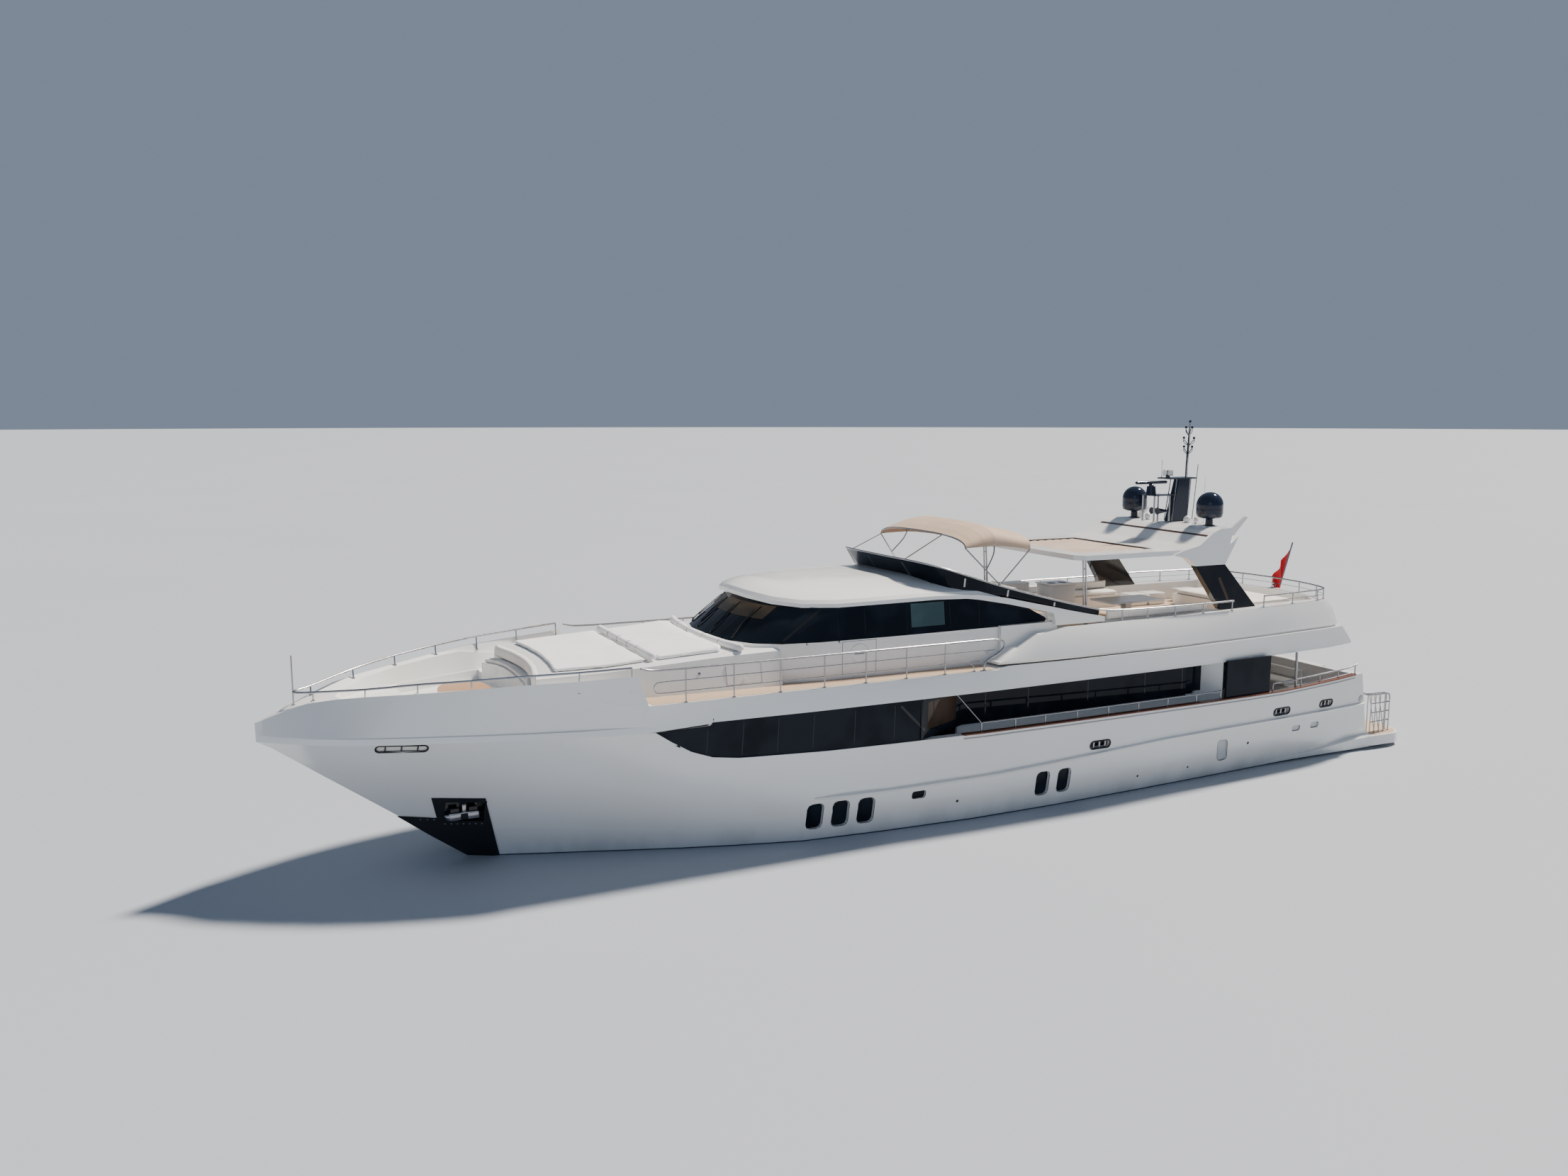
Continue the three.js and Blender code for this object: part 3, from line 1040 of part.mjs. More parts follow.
function hardtop() {
  const plate = prismZ(HARDTOP_PLAN, HARDTOP_Z - 130, HARDTOP_Z);
  const opening = box(SUNROOF.x0, SUNROOF.x1, -SUNROOF.y, SUNROOF.y, HARDTOP_Z - 60, HARDTOP_Z + 50);
  const arch = cut(prismY([[-6900, HARDTOP_Z - 130], [-6900, HARDTOP_Z], [-7400, 6400], [-7900, 6740],
    [-8150, ARCH_Z],
    [-9150, ARCH_Z], [-9150, 6740], [-8300, 6650], [-7500, 6230], [-7300, HARDTOP_Z - 130]], -2400, 2400),
  [prismZ([[-8550, 2500], [-8700, 1900], [-8950, 1000], [-9050, 0], [-8950, -1000], [-8700, -1900],
    [-8550, -2500],
    [-9500, -2500], [-9500, 2500]], 6000, 7000), box(-8420, -8200, -1750, 1750, 6600, 6700)]);
  const sides = [1, -1].map((side) => prismY([[-6500, HARDTOP_Z - 110], [-6900, HARDTOP_Z], [-7400, 6400],
    [-7900, 6740], [-8150, ARCH_Z], [-8500, ARCH_Z], [-8560, 6700], [-8500, 6400], [-8800, 6600], [-8350,
      5850],
    [-7300, 5850], [-7000, 6080]], side > 0 ? 2180 : -2400, side > 0 ? 2400 : -2180));
  const fins = [1, -1].map((side) => prismY([[-8350, 6250], [-8900, 6250], [-9050, 6620], [-9500, 7060],
    [-9380, 7090],
    [-8500, 6500]], side > 0 ? 1950 : -2010, side > 0 ? 2010 : -1950));
  const webs = [1, -1].map((side) => box(-8560, -8330, side > 0 ? 1950 : -2300, side > 0 ? 2300 : -1950,
    6300, 6420));
  return join([cut(plate, [opening]), arch, ...sides, ...fins, ...webs]);
}

function sunroof() {
  return box(SUNROOF.x0 + 20, SUNROOF.x1 - 20, -SUNROOF.y + 20, SUNROOF.y - 20, HARDTOP_Z - 60 + GAP,
    HARDTOP_Z - 25);
}

// Raked post with level ends
function post(x0, x1, y, z0, z1, radius, sides) {
  const ring = (x, z) => Array.from({ length: sides }, (_, i) => {
    const a = (2 * Math.PI * i) / sides;
    return [x + radius * Math.cos(a), y + radius * Math.sin(a), z];
  });
  return loft([ring(x0, z0), ring(x1, z1)], 'z');
}

function hardtopPole(side) {
  const y = side * 2220;
  const [foot, top] = [FLY_FLOOR_Z + GAP, HARDTOP_Z - 130 - GAP];
  const legs = [0, 80].map((dx) => post(-3760 - dx, -3640 - dx, y, foot, top, 20, 6));
  const links = [4600, 5050, 5500, 5950].map((z) => {
    const x = -3760 + (120 * (z - foot)) / (top - foot);
    return rod([x, y, z], [x - 80, y, z], 12, 12, 5);
  });
  return join([...legs, ...links]);
}

// Black raked pillar between the coaming and the hardtop's arch
function pillar(side) {
  const ring = (x0, x1, y, z) => [[x0, side * y, z], [x1, side * y, z], [x1, side * (y - 190), z],
    [x0, side * (y - 190), z]];
  return loft([ring(-9420, -8130, 2520, 4640 + GAP), ring(-8350, -7300, 2390, 5850 - GAP)], 'z');
}

const RADAR_X = -7800;
const RADAR_Z = 7860; // top of the gearbox that turns the scanner

function mast() {
  const foot = ARCH_Z + GAP;
  const ring = (x0, x1, half, z) => [[x0, half, z], [x1, half, z], [x1, -half, z], [x0, -half, z]];
  const body = loft([ring(-9020, -8480, 150, foot), ring(-9150, -8740, 110, 8060)], 'z');
  const shelf = box(-9250, -8250, -260, 260, 8055, 8095);
  const pole = tube([[-9080, 0, 8000], [-9080, 0, 8400], [-9150, 0, 9680]], 26, 6);
  const arms = [[-9130, 9000], [-9110, 8750], [-9100, 9300]].map(([x, z], i) => tube([[x, -180 + i * 40,
    z + 160],
    [x, 0, z], [x, 180 - i * 40, z + 160]], 12));
  const spot = join([rod([-8400, 0, 8090], [-8400, 0, 8160], 60, 60, 8), box(-8500, -8300, -100, 100,
    8150, 8300)]);
  const frame = join([-230, 230].flatMap((y) => [
    tube([[-7730, y, 6900], [-7730, y, 7600]], 20), tube([[-8290, y, foot], [-8290, y, 7600]], 20)]));
  const plate = join([box(-8320, -7700, -260, 260, 7590, 7620), box(-8700, -8270, -120, 120, 7590, 7620)]);
  const gearbox = rod([RADAR_X, 0, 7610], [RADAR_X, 0, RADAR_Z], 150, 120, 12);
  const horns = [120, -120].map((y) => rod([-8290, y, 7150], [-7960, y, 7150], 30, 95, 10));
  const hornBar = tube([[-8290, 230, 7150], [-8290, -230, 7150]], 16);
  const whips = [[-9000, 120, 8080, 8700], [-8350, -200, 8080, 8600]].map(([x, y, z0, z1]) =>
    rod([x, y, z0], [x, y, z1], 10, 6, 5));
  return join([body, shelf, pole, ...arms, spot, frame, plate, gearbox, ...horns, hornBar, ...whips]);
}

function radarScanner() {
  const bar = box(RADAR_X - 560, RADAR_X + 560, -50, 50, RADAR_Z + 60, RADAR_Z + 150);
  return bar.add(rod([RADAR_X, 0, RADAR_Z + RUN], [RADAR_X, 0, RADAR_Z + 70], 70, 70, 12));
}

const DOME_R = 360;

function dome(side) {
  const points = [[0, 0], [110, 0], [110, 190], [230, 200], [DOME_R - 20, 270], [DOME_R, 330], [DOME_R, 570],
    [DOME_R * 0.87, 750], [DOME_R * 0.5, 882], [0, 930]].map(([r, z]) => new THREE.Vector2(r, z));
  const lathe = new THREE.LatheGeometry(points, 16).rotateX(Math.PI / 2);
  return solid(lathe.translate(-8560, side * 1520, ARCH_Z + GAP));
}

// Sun awning of cloth over three hoops. Columns: x, crown height, edge height, half-width, and the
// exponent of its arch, smaller where the sides stand straighter
const BIMINI = [[-130, 6930, 6640, 2100, 0.42], [-350, 7030, 6650, 2110, 0.38], [-650, 7130, 6658, 2118, 0.32],
  [-970, 7190, 6660, 2120, 0.28], [-1280, 7120, 6640, 2112, 0.28], [-1550, 7045, 6605, 2105, 0.28],
  [-1820, 6985, 6565, 2095, 0.28], [-2080, 6945, 6515, 2080, 0.28]];
// Places across the awning, as shares of its half-width: close together where the sides turn down
const ACROSS = [-1, -0.985, -0.94, -0.85, -0.7, -0.4, 0, 0.4, 0.7, 0.85, 0.94, 0.985, 1];
const CLOTH = 14;

function archPoints([x, crown, edge, half, exponent], drop) {
  return ACROSS.map((u) => {
    const rise = (crown - edge) * (1 - Math.abs(u) ** 3) ** exponent;
    return [x, (half - drop) * u, edge + rise * (1 - drop / (crown - edge))];
  });
}

function biminiCanopy() {
  return loft(BIMINI.map((row) => [...archPoints(row, 0), ...archPoints(row, CLOTH).reverse()]));
}

const HOOP_R = 16;
const SHOE = [-920, 2439, 5712];

function biminiFrame(canopySolid, screenRailSolid) {
  const rows = [BIMINI[0], BIMINI[3], BIMINI[7]];
  const drop = CLOTH + HOOP_R + 2;
  const hoops = rows.map((row) => tube(archPoints(row, drop), HOOP_R, 4));
  const [sx, sy, sz] = SHOE;
  const legs = [1, -1].flatMap((side) => {
    const shoe = [sx, side * sy, sz + 20];
    const ends = rows.map(([x, , edge, half]) => [x, side * (half - drop), edge]);
    const branch = ends[0].map((value, i) => value * 0.4 + shoe[i] * 0.6);
    const bend = ends[1].map((value, i) => value * 0.62 + branch[i] * 0.38 + (i === 0 ? -60 : 0));
    return [tube([shoe, ends[0]], 14, 4), tube([branch, bend, ends[1]], 14, 4), tube([shoe, ends[2]], 14, 4)];
  });
  const shoes = [1, -1].map((side) => rod([sx, side * sy, sz], [sx, side * sy, sz + 85], 30, 22, 8));
  const below = clear(join([...hoops, ...legs, ...shoes]), canopySolid, [0, 0, -GAP]);
  return clear(below, screenRailSolid, [0, 0, GAP], [0, GAP, GAP], [0, -GAP, GAP]);
}

function cockpitTable() {
  const floor = MAIN_DECK_Z + GAP;
  const top = box(-12000, -10900, -700, 700, 2080, 2130);
  const column = rod([-11450, 0, floor], [-11450, 0, 2090], 90, 70, 12);
  const foot = rod([-11450, 0, floor], [-11450, 0, MAIN_DECK_Z + 40], 260, 260, 12);
  return join([top, column, foot]);
}

function cockpitCushion() {
  return join([box(-12990, -12310, -1090, 1090, 1780 + GAP, 1930)]);
}

const NODES = [];

function node(name, finish, shape) {
  const mesh = shape.getMesh();
  const geometry = new THREE.BufferGeometry();
  geometry.setAttribute('position', new THREE.BufferAttribute(new Float32Array(mesh.vertProperties), 3));
  geometry.setIndex(new THREE.BufferAttribute(new Uint32Array(mesh.triVerts), 1));
  geometry.computeVertexNormals();
  const piece = new THREE.Mesh(geometry, new THREE.MeshStandardMaterial(FINISH[finish]));
  piece.name = name;
  NODES.push(piece);
}

const SIDES = [['port', 1], ['starboard', -1]];
const hullSolid = hull();
const upperSolid = upperDeck(hullSolid);
const trunkSolid = foredeckTrunk();
const wheelhouseSolid = wheelhouse();
const flySolid = flybridge(upperSolid);
const roofSolid = wheelhouseRoof(flySolid, wheelhouseSolid);
const canopySolid = biminiCanopy();
const screenRailSolid = flyScreenRail(flySolid, roofSolid);

node('hull', 'gelcoat', hullSolid);
node('swim_platform', 'gelcoat', swimPlatform(hullSolid));
node('anchor_plate', 'black', anchorPlate());
node('upper_deck', 'gelcoat', upperSolid);
node('saloon_house', 'gelcoat', saloonHouse());
node('foredeck_trunk', 'gelcoat', trunkSolid);
node('sunpad', 'cushion', clear(sunpad(), trunkSolid, [0, 0, GAP]));
node('cover_roll_forward', 'cushion', coverRoll(7950, 2020, PAD_JOINT_Z + ROLL_R + GAP, 0));
node('cover_roll_aft', 'cushion', coverRoll(6160, 2240, 4595.2 + ROLL_R, 230));
node('bow_cushion', 'cushion', bowCushion());
node('bow_table', 'teak', bowTable());
node('foredeck_rail', 'steel', foredeckRail(upperSolid));
node('wheelhouse', 'gelcoat', wheelhouseSolid);
node('wheelhouse_glass', 'darkGlass', wheelhouseGlass(roofSolid, flySolid));
node('wheelhouse_roof', 'gelcoat', roofSolid);
node('helm_station', 'black', helmStation());
node('flybridge', 'gelcoat', flySolid);
node('fly_screen', 'darkGlass', flyScreen(roofSolid, flySolid));
node('fly_screen_rail', 'steel', screenRailSolid);
node('fly_aft_rail', 'steel', flyAftRail(flySolid));
node('ensign', 'flagRed', ensign());
node('fly_helm', 'gelcoat', flyHelm(roofSolid));
node('fly_cushion_port', 'cushion', box(-7850, -4350, 1860, 2350, 4480 + GAP, 4600));
node('fly_cushion_starboard', 'cushion', box(-8250, -5250, -2300, -1760, 4480 + GAP, 4600));
node('fly_sunpad', 'cushion', box(-11950, -10250, -1450, 1450, 4420 + GAP, 4560));
node('hardtop', 'gelcoat', hardtop());
node('sunroof', 'canvas', sunroof());
node('mast', 'black', mast());
node('radar_scanner', 'gelcoat', radarScanner());
node('bimini_canopy', 'canvas', canopySolid);
node('bimini_frame', 'steel', biminiFrame(canopySolid, screenRailSolid));
node('cockpit_table', 'teak', cockpitTable());
node('cockpit_cushion', 'cushion', cockpitCushion());
for (const [side, s] of SIDES) {
  node(`propeller_${side}`, 'bronze', propeller(s));
  node(`rudder_${side}`, 'gelcoat', rudder(s));
  node(`main_glass_${side}`, 'darkGlass', mainGlass(s, hullSolid, upperSolid));
  node(`saloon_door_${side}`, 'darkGlass', saloonDoor(s));
  node(`wing_panel_${side}`, 'darkGlass', wingPanel(s, hullSolid, upperSolid));
  node(`walkway_rail_${side}`, 'steel', walkwayRail(s, hullSolid, upperSolid));
  node(`cockpit_rail_${side}`, 'steel', cockpitRail(s, hullSolid, upperSolid));
  node(`boarding_rail_${side}`, 'steel', boardingRail(s));
  node(`locker_door_${side}`, 'gelcoat', lockerDoor(s));
  node(`side_rail_${side}`, 'steel', sideRail(s));
  node(`hardtop_pole_${side}`, 'steel', hardtopPole(s));
  node(`pillar_${side}`, 'black', pillar(s));
  node(`dome_${side}`, 'black', dome(s));
}

const yacht = new THREE.Group();
yacht.add(...NODES);

export default yacht;
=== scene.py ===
# %% [markdown]
# # A 32 metre motor yacht
# The boat's mouldings come ready made as solids and are loaded as a fixed frame. Everything
# added here is placed in the same metres: +X is forward, +Y is port, and z = 0 is the waterline.

# %% Load the frame
import bpy
import bmesh
import json
import math
import numpy as np
from mathutils import Matrix, Vector, noise
from mathutils.bvhtree import BVHTree

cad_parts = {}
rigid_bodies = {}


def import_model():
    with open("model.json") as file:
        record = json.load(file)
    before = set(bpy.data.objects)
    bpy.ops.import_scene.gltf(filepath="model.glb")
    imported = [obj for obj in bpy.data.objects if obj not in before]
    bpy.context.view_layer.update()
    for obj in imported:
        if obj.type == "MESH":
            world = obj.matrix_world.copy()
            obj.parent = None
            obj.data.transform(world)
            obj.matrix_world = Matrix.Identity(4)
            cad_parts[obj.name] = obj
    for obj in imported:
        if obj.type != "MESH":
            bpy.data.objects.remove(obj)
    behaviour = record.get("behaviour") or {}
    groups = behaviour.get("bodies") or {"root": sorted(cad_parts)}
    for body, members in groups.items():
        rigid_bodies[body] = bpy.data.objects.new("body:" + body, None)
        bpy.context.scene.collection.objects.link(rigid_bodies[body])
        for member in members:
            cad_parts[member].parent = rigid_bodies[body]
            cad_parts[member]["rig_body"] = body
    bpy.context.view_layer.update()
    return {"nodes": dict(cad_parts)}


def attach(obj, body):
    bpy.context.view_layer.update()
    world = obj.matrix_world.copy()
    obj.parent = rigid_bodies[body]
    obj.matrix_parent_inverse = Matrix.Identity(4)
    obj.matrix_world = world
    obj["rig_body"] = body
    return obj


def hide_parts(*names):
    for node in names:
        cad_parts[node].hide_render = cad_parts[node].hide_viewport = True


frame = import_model()
NODES = frame["nodes"]
SIDES = {"port": 1, "starboard": -1}
print("nodes loaded:", len(NODES))

# %% [markdown]
# ## Camera
# The photograph looks down on the port bow from about ten metres up. A camera could be placed by
# eye, but a solved place and focal length keep the deck lines close to where the photograph has them.

# %% Camera
IMAGE_WIDTH = 2212
FOCAL_LENGTH = 1720  # in pixels of that image
EYE = Vector((16.63, 27.03, 9.9))
HEADING = Vector((-0.4285, -0.9035, 0.0)).normalized()
PITCH = math.radians(-8.12)
SENSOR = 36.0

camera = bpy.data.objects.new("camera", bpy.data.cameras.new("camera"))
bpy.context.scene.collection.objects.link(camera)
look = HEADING * math.cos(PITCH) + Vector((0, 0, math.sin(PITCH)))
camera.location = EYE
camera.rotation_euler = look.to_track_quat("-Z", "Y").to_euler()
camera.data.sensor_width = SENSOR
camera.data.lens = FOCAL_LENGTH / IMAGE_WIDTH * SENSOR
camera.data.clip_end = 3000
bpy.context.scene.camera = camera
print("lens:", round(camera.data.lens, 2), "mm")

# %% [markdown]
# ## Studio light
# The sun stood high behind the stern, so the decks are bright and the near side lies in a soft,
# cool shade. A soft sun lamp from there lights the tops, and a big dim softbox and a pale sky fill
# the side that faces the camera.

# %% Light
def softbox(name, place, size, power, tint):
    light = bpy.data.lights.new(name, "AREA")
    light.shape = "DISK"
    light.size = size
    light.energy = power
    light.color = tint
    lamp = bpy.data.objects.new(name, light)
    lamp.location = place
    lamp.rotation_euler = (-Vector(place)).to_track_quat("-Z", "Y").to_euler()
    bpy.context.scene.collection.objects.link(lamp)


softbox("fill_side", (30, 44, 22), 26, 1500, (0.45, 0.66, 1.0))
sun = bpy.data.lights.new("sun_side", "SUN")
sun.energy = 9.0
sun.angle = math.radians(6)
sun.color = (1.0, 0.92, 0.81)
lamp = bpy.data.objects.new("sun_side", sun)
lamp.rotation_euler = (-Vector((-30, -5, 40))).to_track_quat("-Z", "Y").to_euler()
bpy.context.scene.collection.objects.link(lamp)
world = bpy.data.worlds.new("pale_sky")
world.use_nodes = True
world.node_tree.nodes["Background"].inputs["Color"].default_value = (0.56, 0.69, 0.90, 1)
world.node_tree.nodes["Background"].inputs["Strength"].default_value = 0.36
bpy.context.scene.world = world

# %% [markdown]
# ## Shader sums as plain expressions
# Patterns such as planks or weave are sums on coordinates. Adding each Math node by hand hides
# the idea, so a small class wraps a socket and lets Python's own signs add the nodes.

# %% A value that varies over a surface
class Value:
    def __init__(self, paint, socket):
        self.paint = paint
        self.socket = socket

    def math(self, operation, *terms):
        return self.paint.add("ShaderNodeMath", {"operation": operation}, dict(enumerate(terms)))

    def __add__(self, other):
        return self.math("ADD", self, other)

    def __sub__(self, other):
        return self.math("SUBTRACT", self, other)

    def __rsub__(self, other):
        return self.math("SUBTRACT", other, self)

    def __mul__(self, other):
        return self.math("MULTIPLY", self, other)

    def __truediv__(self, other):
        return self.math("DIVIDE", self, other)

    def __abs__(self):
        return self.math("ABSOLUTE", self)

    def __mod__(self, other):
        return self.math("FLOORED_MODULO", self, other)

    def floor(self):
        return self.math("FLOOR", self)

    def most(self, other):
        return self.math("MAXIMUM", self, other)

    __radd__ = __add__
    __rmul__ = __mul__


# %% A material and the one way to add its nodes
COLOR_MIX = {"factor": 0, "a": 6, "b": 7, "out": 2}


class Paint:
    def __init__(self, name):
        self.material = bpy.data.materials.new(name)
        self.material.use_nodes = True
        self.tree = self.material.node_tree
        self.shader = self.tree.nodes["Principled BSDF"]
        place = self.add("ShaderNodeTexCoord", {}, {}, "Object")
        self.place = place
        self.x, self.y, self.z = (self.add("ShaderNodeSeparateXYZ", {}, {0: place}, axis) for axis in "XYZ")

    def add(self, kind, settings, sockets, out=0):
        node = self.tree.nodes.new(kind)
        for key, setting in settings.items():
            setattr(node, key, setting)
        for key, value in sockets.items():
            self.feed(node.inputs[key], value)
        return Value(self, node.outputs[out])

    def feed(self, socket, value):
        if isinstance(value, Value):
            self.tree.links.new(value.socket, socket)
        elif isinstance(value, (tuple, list)) and len(value) == 3 and socket.type == "RGBA":
            socket.default_value = (*value, 1)
        else:
            socket.default_value = value

    def noise(self, scale, detail=2.0, stretch=(1, 1, 1)):
        place = self.add("ShaderNodeVectorMath", {"operation": "MULTIPLY"}, {0: self.place, 1: stretch})
        return self.add("ShaderNodeTexNoise", {}, {"Vector": place, "Scale": scale, "Detail": detail}, "Fac")

    def between(self, value, low, high, to_low=0.0, to_high=1.0):
        return self.add("ShaderNodeMapRange", {"interpolation_type": "SMOOTHSTEP"},
                        {0: value, 1: low, 2: high, 3: to_low, 4: to_high})

    def mix(self, factor, a, b):
        return self.add("ShaderNodeMix", {"data_type": "RGBA"},
                        {COLOR_MIX["factor"]: factor, COLOR_MIX["a"]: a, COLOR_MIX["b"]: b}, COLOR_MIX["out"])

    def bump(self, height, distance, strength=1.0):
        return self.add("ShaderNodeBump", {}, {"Height": height, "Distance": distance, "Strength": strength})

    def finish(self, **sockets):
        for key, value in sockets.items():
            self.feed(self.shader.inputs[key.replace("_", " ").title().replace("Ior", "IOR")], value)
        return self.material


# %% [markdown]
# ## Gelcoat
# White polyester gelcoat is a hard gloss skin, sprayed in a mould. It is never one flat white: it
# yellows a little in patches and polishes unevenly; the hull is painted greyer in streaks near the water.

# %% Gelcoat
WHITE = (0.83, 0.83, 0.82)
WARM_WHITE = (0.80, 0.79, 0.76)


def gelcoat(name, tint=WHITE, aged=WARM_WHITE, gloss=0.16):
    paint = Paint(name)
    patches = paint.between(paint.noise(0.5, 3), 0.35, 0.7)
    polish = paint.noise(2.2, 4)
    peel = paint.noise(90, 1)
    return paint.finish(base_color=paint.mix(patches * 0.6, tint, aged),
                        roughness=polish * 0.12 + gloss, coat_weight=0.5, coat_roughness=0.05,
                        normal=paint.bump(peel, 0.0004, 0.4))


def hull_gelcoat(name):
    paint = Paint(name)
    patches = paint.between(paint.noise(0.4, 3), 0.35, 0.7)
    streaks = paint.noise(1.4, 4, (1, 1, 0.12))
    # The hull is painted greyer towards the waterline, in vertical streaks that fade out by z = 0.75.
    grey_near_water = paint.between(paint.z, 0.05, 0.75, 1.0, 0.0) * paint.between(streaks, 0.3, 0.7)
    side = paint.mix(grey_near_water * 0.45, paint.mix(patches * 0.6, WHITE, WARM_WHITE), (0.52, 0.55, 0.52))
    bottom = paint.between(paint.z + paint.noise(5, 2) * 0.008, 0.028, 0.036, 1.0, 0.0)
    worn = paint.mix(paint.between(paint.noise(1.1, 5), 0.35, 0.75), (0.012, 0.02, 0.05), (0.03, 0.05, 0.08))
    return paint.finish(base_color=paint.mix(bottom, side, worn), roughness=bottom * 0.4 + grey_near_water * 0.1 + 0.16,
                        coat_weight=0.4 - bottom * 0.4, coat_roughness=0.05,
                        normal=paint.bump(paint.noise(1.6, 2), 0.003, 0.25))


HULL_PAINT = hull_gelcoat("hull_gelcoat_paint")
WHITE_PAINT = gelcoat("gelcoat_paint")
CREAM_PAINT = gelcoat("cream_lining_paint", (0.80, 0.77, 0.71), (0.76, 0.72, 0.65), 0.3)
GREY_PAINT = gelcoat("grey_panel_paint", (0.50, 0.53, 0.56), (0.44, 0.47, 0.50), 0.25)

# %% [markdown]
# ## Teak
# Decks are strips of teak, one every 60 mm, with black caulking between them. The strips could be
# modelled one by one, but a pattern on the boat's own metres keeps every deck in step.

# %% Teak
PLANK = 0.06
CAULK = 0.007


def teak(name, light, dark, plank=PLANK, caulk=CAULK, gloss=0.5):
    paint = Paint(name)
    across = paint.y / plank
    seam = paint.between(abs((across % 1.0) - 0.5), 0.5 - caulk / plank, 0.5 - caulk / plank / 3)
    strip = across.floor()
    joints = (paint.x + strip * 0.731) / 1.9
    butt = paint.between(abs((joints % 1.0) - 0.5), 0.4975, 0.4988)
    tone = paint.add("ShaderNodeTexWhiteNoise", {"noise_dimensions": "2D"},
                     {"Vector": paint.add("ShaderNodeCombineXYZ", {}, {0: joints.floor(), 1: strip})}, "Value")
    grain = paint.noise(1.0, 6, (6, 90, 90))
    wood = paint.mix(tone * 0.5 + grain * 0.5, light, dark)
    gap = seam.most(butt)
    return paint.finish(base_color=paint.mix(gap, wood, (0.035, 0.032, 0.03)), roughness=gap * 0.15 + gloss,
                        normal=paint.bump(grain * 0.3 - gap, 0.002, 0.6))


TEAK_DECK = teak("teak_deck_wood", (0.60, 0.44, 0.31), (0.50, 0.35, 0.235))
TEAK_RAIL = teak("varnished_rail_wood", (0.17, 0.055, 0.028), (0.11, 0.035, 0.018), 0.4, 0.0001, 0.22)
TEAK_TABLE = teak("oiled_table_wood", (0.47, 0.26, 0.13), (0.36, 0.19, 0.09), 0.09, 0.002, 0.3)

# %% [markdown]
# ## Metal, glass and black gloss
# Rails are polished stainless steel with a light haze from salt. Windows are tinted almost black.
# They reflect less here than real glass, because the pale studio floor would turn them grey, where
# dark water and land did not. The arch's legs, domes and mast are sprayed dark.

# %% Metal, glass and dark paint
def metal(name, tint, gloss, haze):
    paint = Paint(name)
    return paint.finish(base_color=paint.mix(paint.noise(3, 3), tint, [0.82 * part for part in tint]),
                        roughness=paint.noise(14, 4) * haze + gloss, metallic=1.0)


def gloss_dark(name, tint, gloss=0.07, fleck=0.25):
    paint = Paint(name)
    smear = paint.between(paint.noise(1.3, 5), 0.4, 0.8)
    pale = [part + 0.02 for part in tint]
    return paint.finish(base_color=paint.mix(smear * fleck, tint, pale), roughness=smear * 0.06 + gloss,
                        specular_ior_level=0.3, coat_weight=0.15, coat_roughness=0.03)


def tinted_glass(name, tint, haze=0.02):
    paint = Paint(name)
    smear = paint.between(paint.noise(0.8, 4), 0.45, 0.75)
    room = paint.between(paint.noise(0.9, 2, (1, 0.2, 1)), 0.42, 0.62)
    inside = paint.mix(room * 0.6, tint, [1.9 * part + 0.004 for part in tint])
    return paint.finish(base_color=inside, roughness=smear * haze + 0.02, ior=1.45, specular_ior_level=0.12)


STEEL = metal("polished_steel", (0.40, 0.40, 0.42), 0.16, 0.16)
BRONZE = metal("cast_bronze", (0.52, 0.34, 0.13), 0.24, 0.25)
GLASS = tinted_glass("tinted_window_glass", (0.006, 0.009, 0.014))
BROWN_GLASS = tinted_glass("brown_pane_glass", (0.045, 0.030, 0.022))
BLIND_GLASS = tinted_glass("blind_pane_glass", (0.05, 0.085, 0.095))
BLACK_GLOSS = gloss_dark("black_gloss_paint", (0.010, 0.011, 0.014))
NAVY_GLOSS = gloss_dark("navy_gloss_paint", (0.010, 0.016, 0.034))
BROWN_TRIM = gloss_dark("brown_trim", (0.060, 0.036, 0.026), 0.25, 0.4)
RUBBER = gloss_dark("black_rubber", (0.018, 0.018, 0.019), 0.5, 0.5)

# %% [markdown]
# ## Cloth and upholstery
# Awning canvas is a plain weave, cushion covers are a close outdoor weave with a soft nap. At
# this scale the threads are only felt as a light bump, with slow changes of tone over them.

# %% Cloth and upholstery
def woven(name, tint, deep, thread, sheen, height=0.0006):
    paint = Paint(name)
    warp, weft = (paint.add("ShaderNodeTexWave", {"bands_direction": axis},
                            {"Vector": paint.place, "Scale": thread}, "Fac") for axis in "XY")
    wear = paint.between(paint.noise(1.6, 5), 0.3, 0.75)
    cloth = paint.mix(wear * 0.7, tint, deep)
    return paint.finish(base_color=paint.mix(warp * weft * 0.25, cloth, deep), roughness=wear * 0.1 + 0.8,
                        sheen_weight=sheen, sheen_roughness=0.5,
                        normal=paint.bump(warp + weft + paint.noise(20, 4) * 2, height, 0.6))


CANVAS = woven("awning_canvas", (0.58, 0.42, 0.30), (0.47, 0.33, 0.23), 90, 0.2)
ROOF_CLOTH = woven("roof_cloth", (0.52, 0.40, 0.32), (0.42, 0.32, 0.25), 90, 0.15)
CUSHION_CLOTH = woven("cushion_cloth", (0.84, 0.82, 0.78), (0.76, 0.73, 0.68), 120, 0.2)
COVER_CLOTH = woven("cover_cloth", (0.86, 0.86, 0.85), (0.77, 0.78, 0.80), 70, 0.15)
FLAG_CLOTH = woven("red_flag_cloth", (0.62, 0.006, 0.016), (0.42, 0.004, 0.010), 160, 0.3)

# %% [markdown]
# ## Floor
# The yacht is afloat, so the studio floor stands in for the water and cuts the hull at z = 0.

# %% Floor
FLOOR_RADIUS = 900


def pale_floor():
    paint = Paint("pale_floor_paint")
    return paint.finish(base_color=paint.mix(paint.noise(0.05, 2), (0.38, 0.41, 0.46), (0.355, 0.385, 0.43)),
                        roughness=0.8)


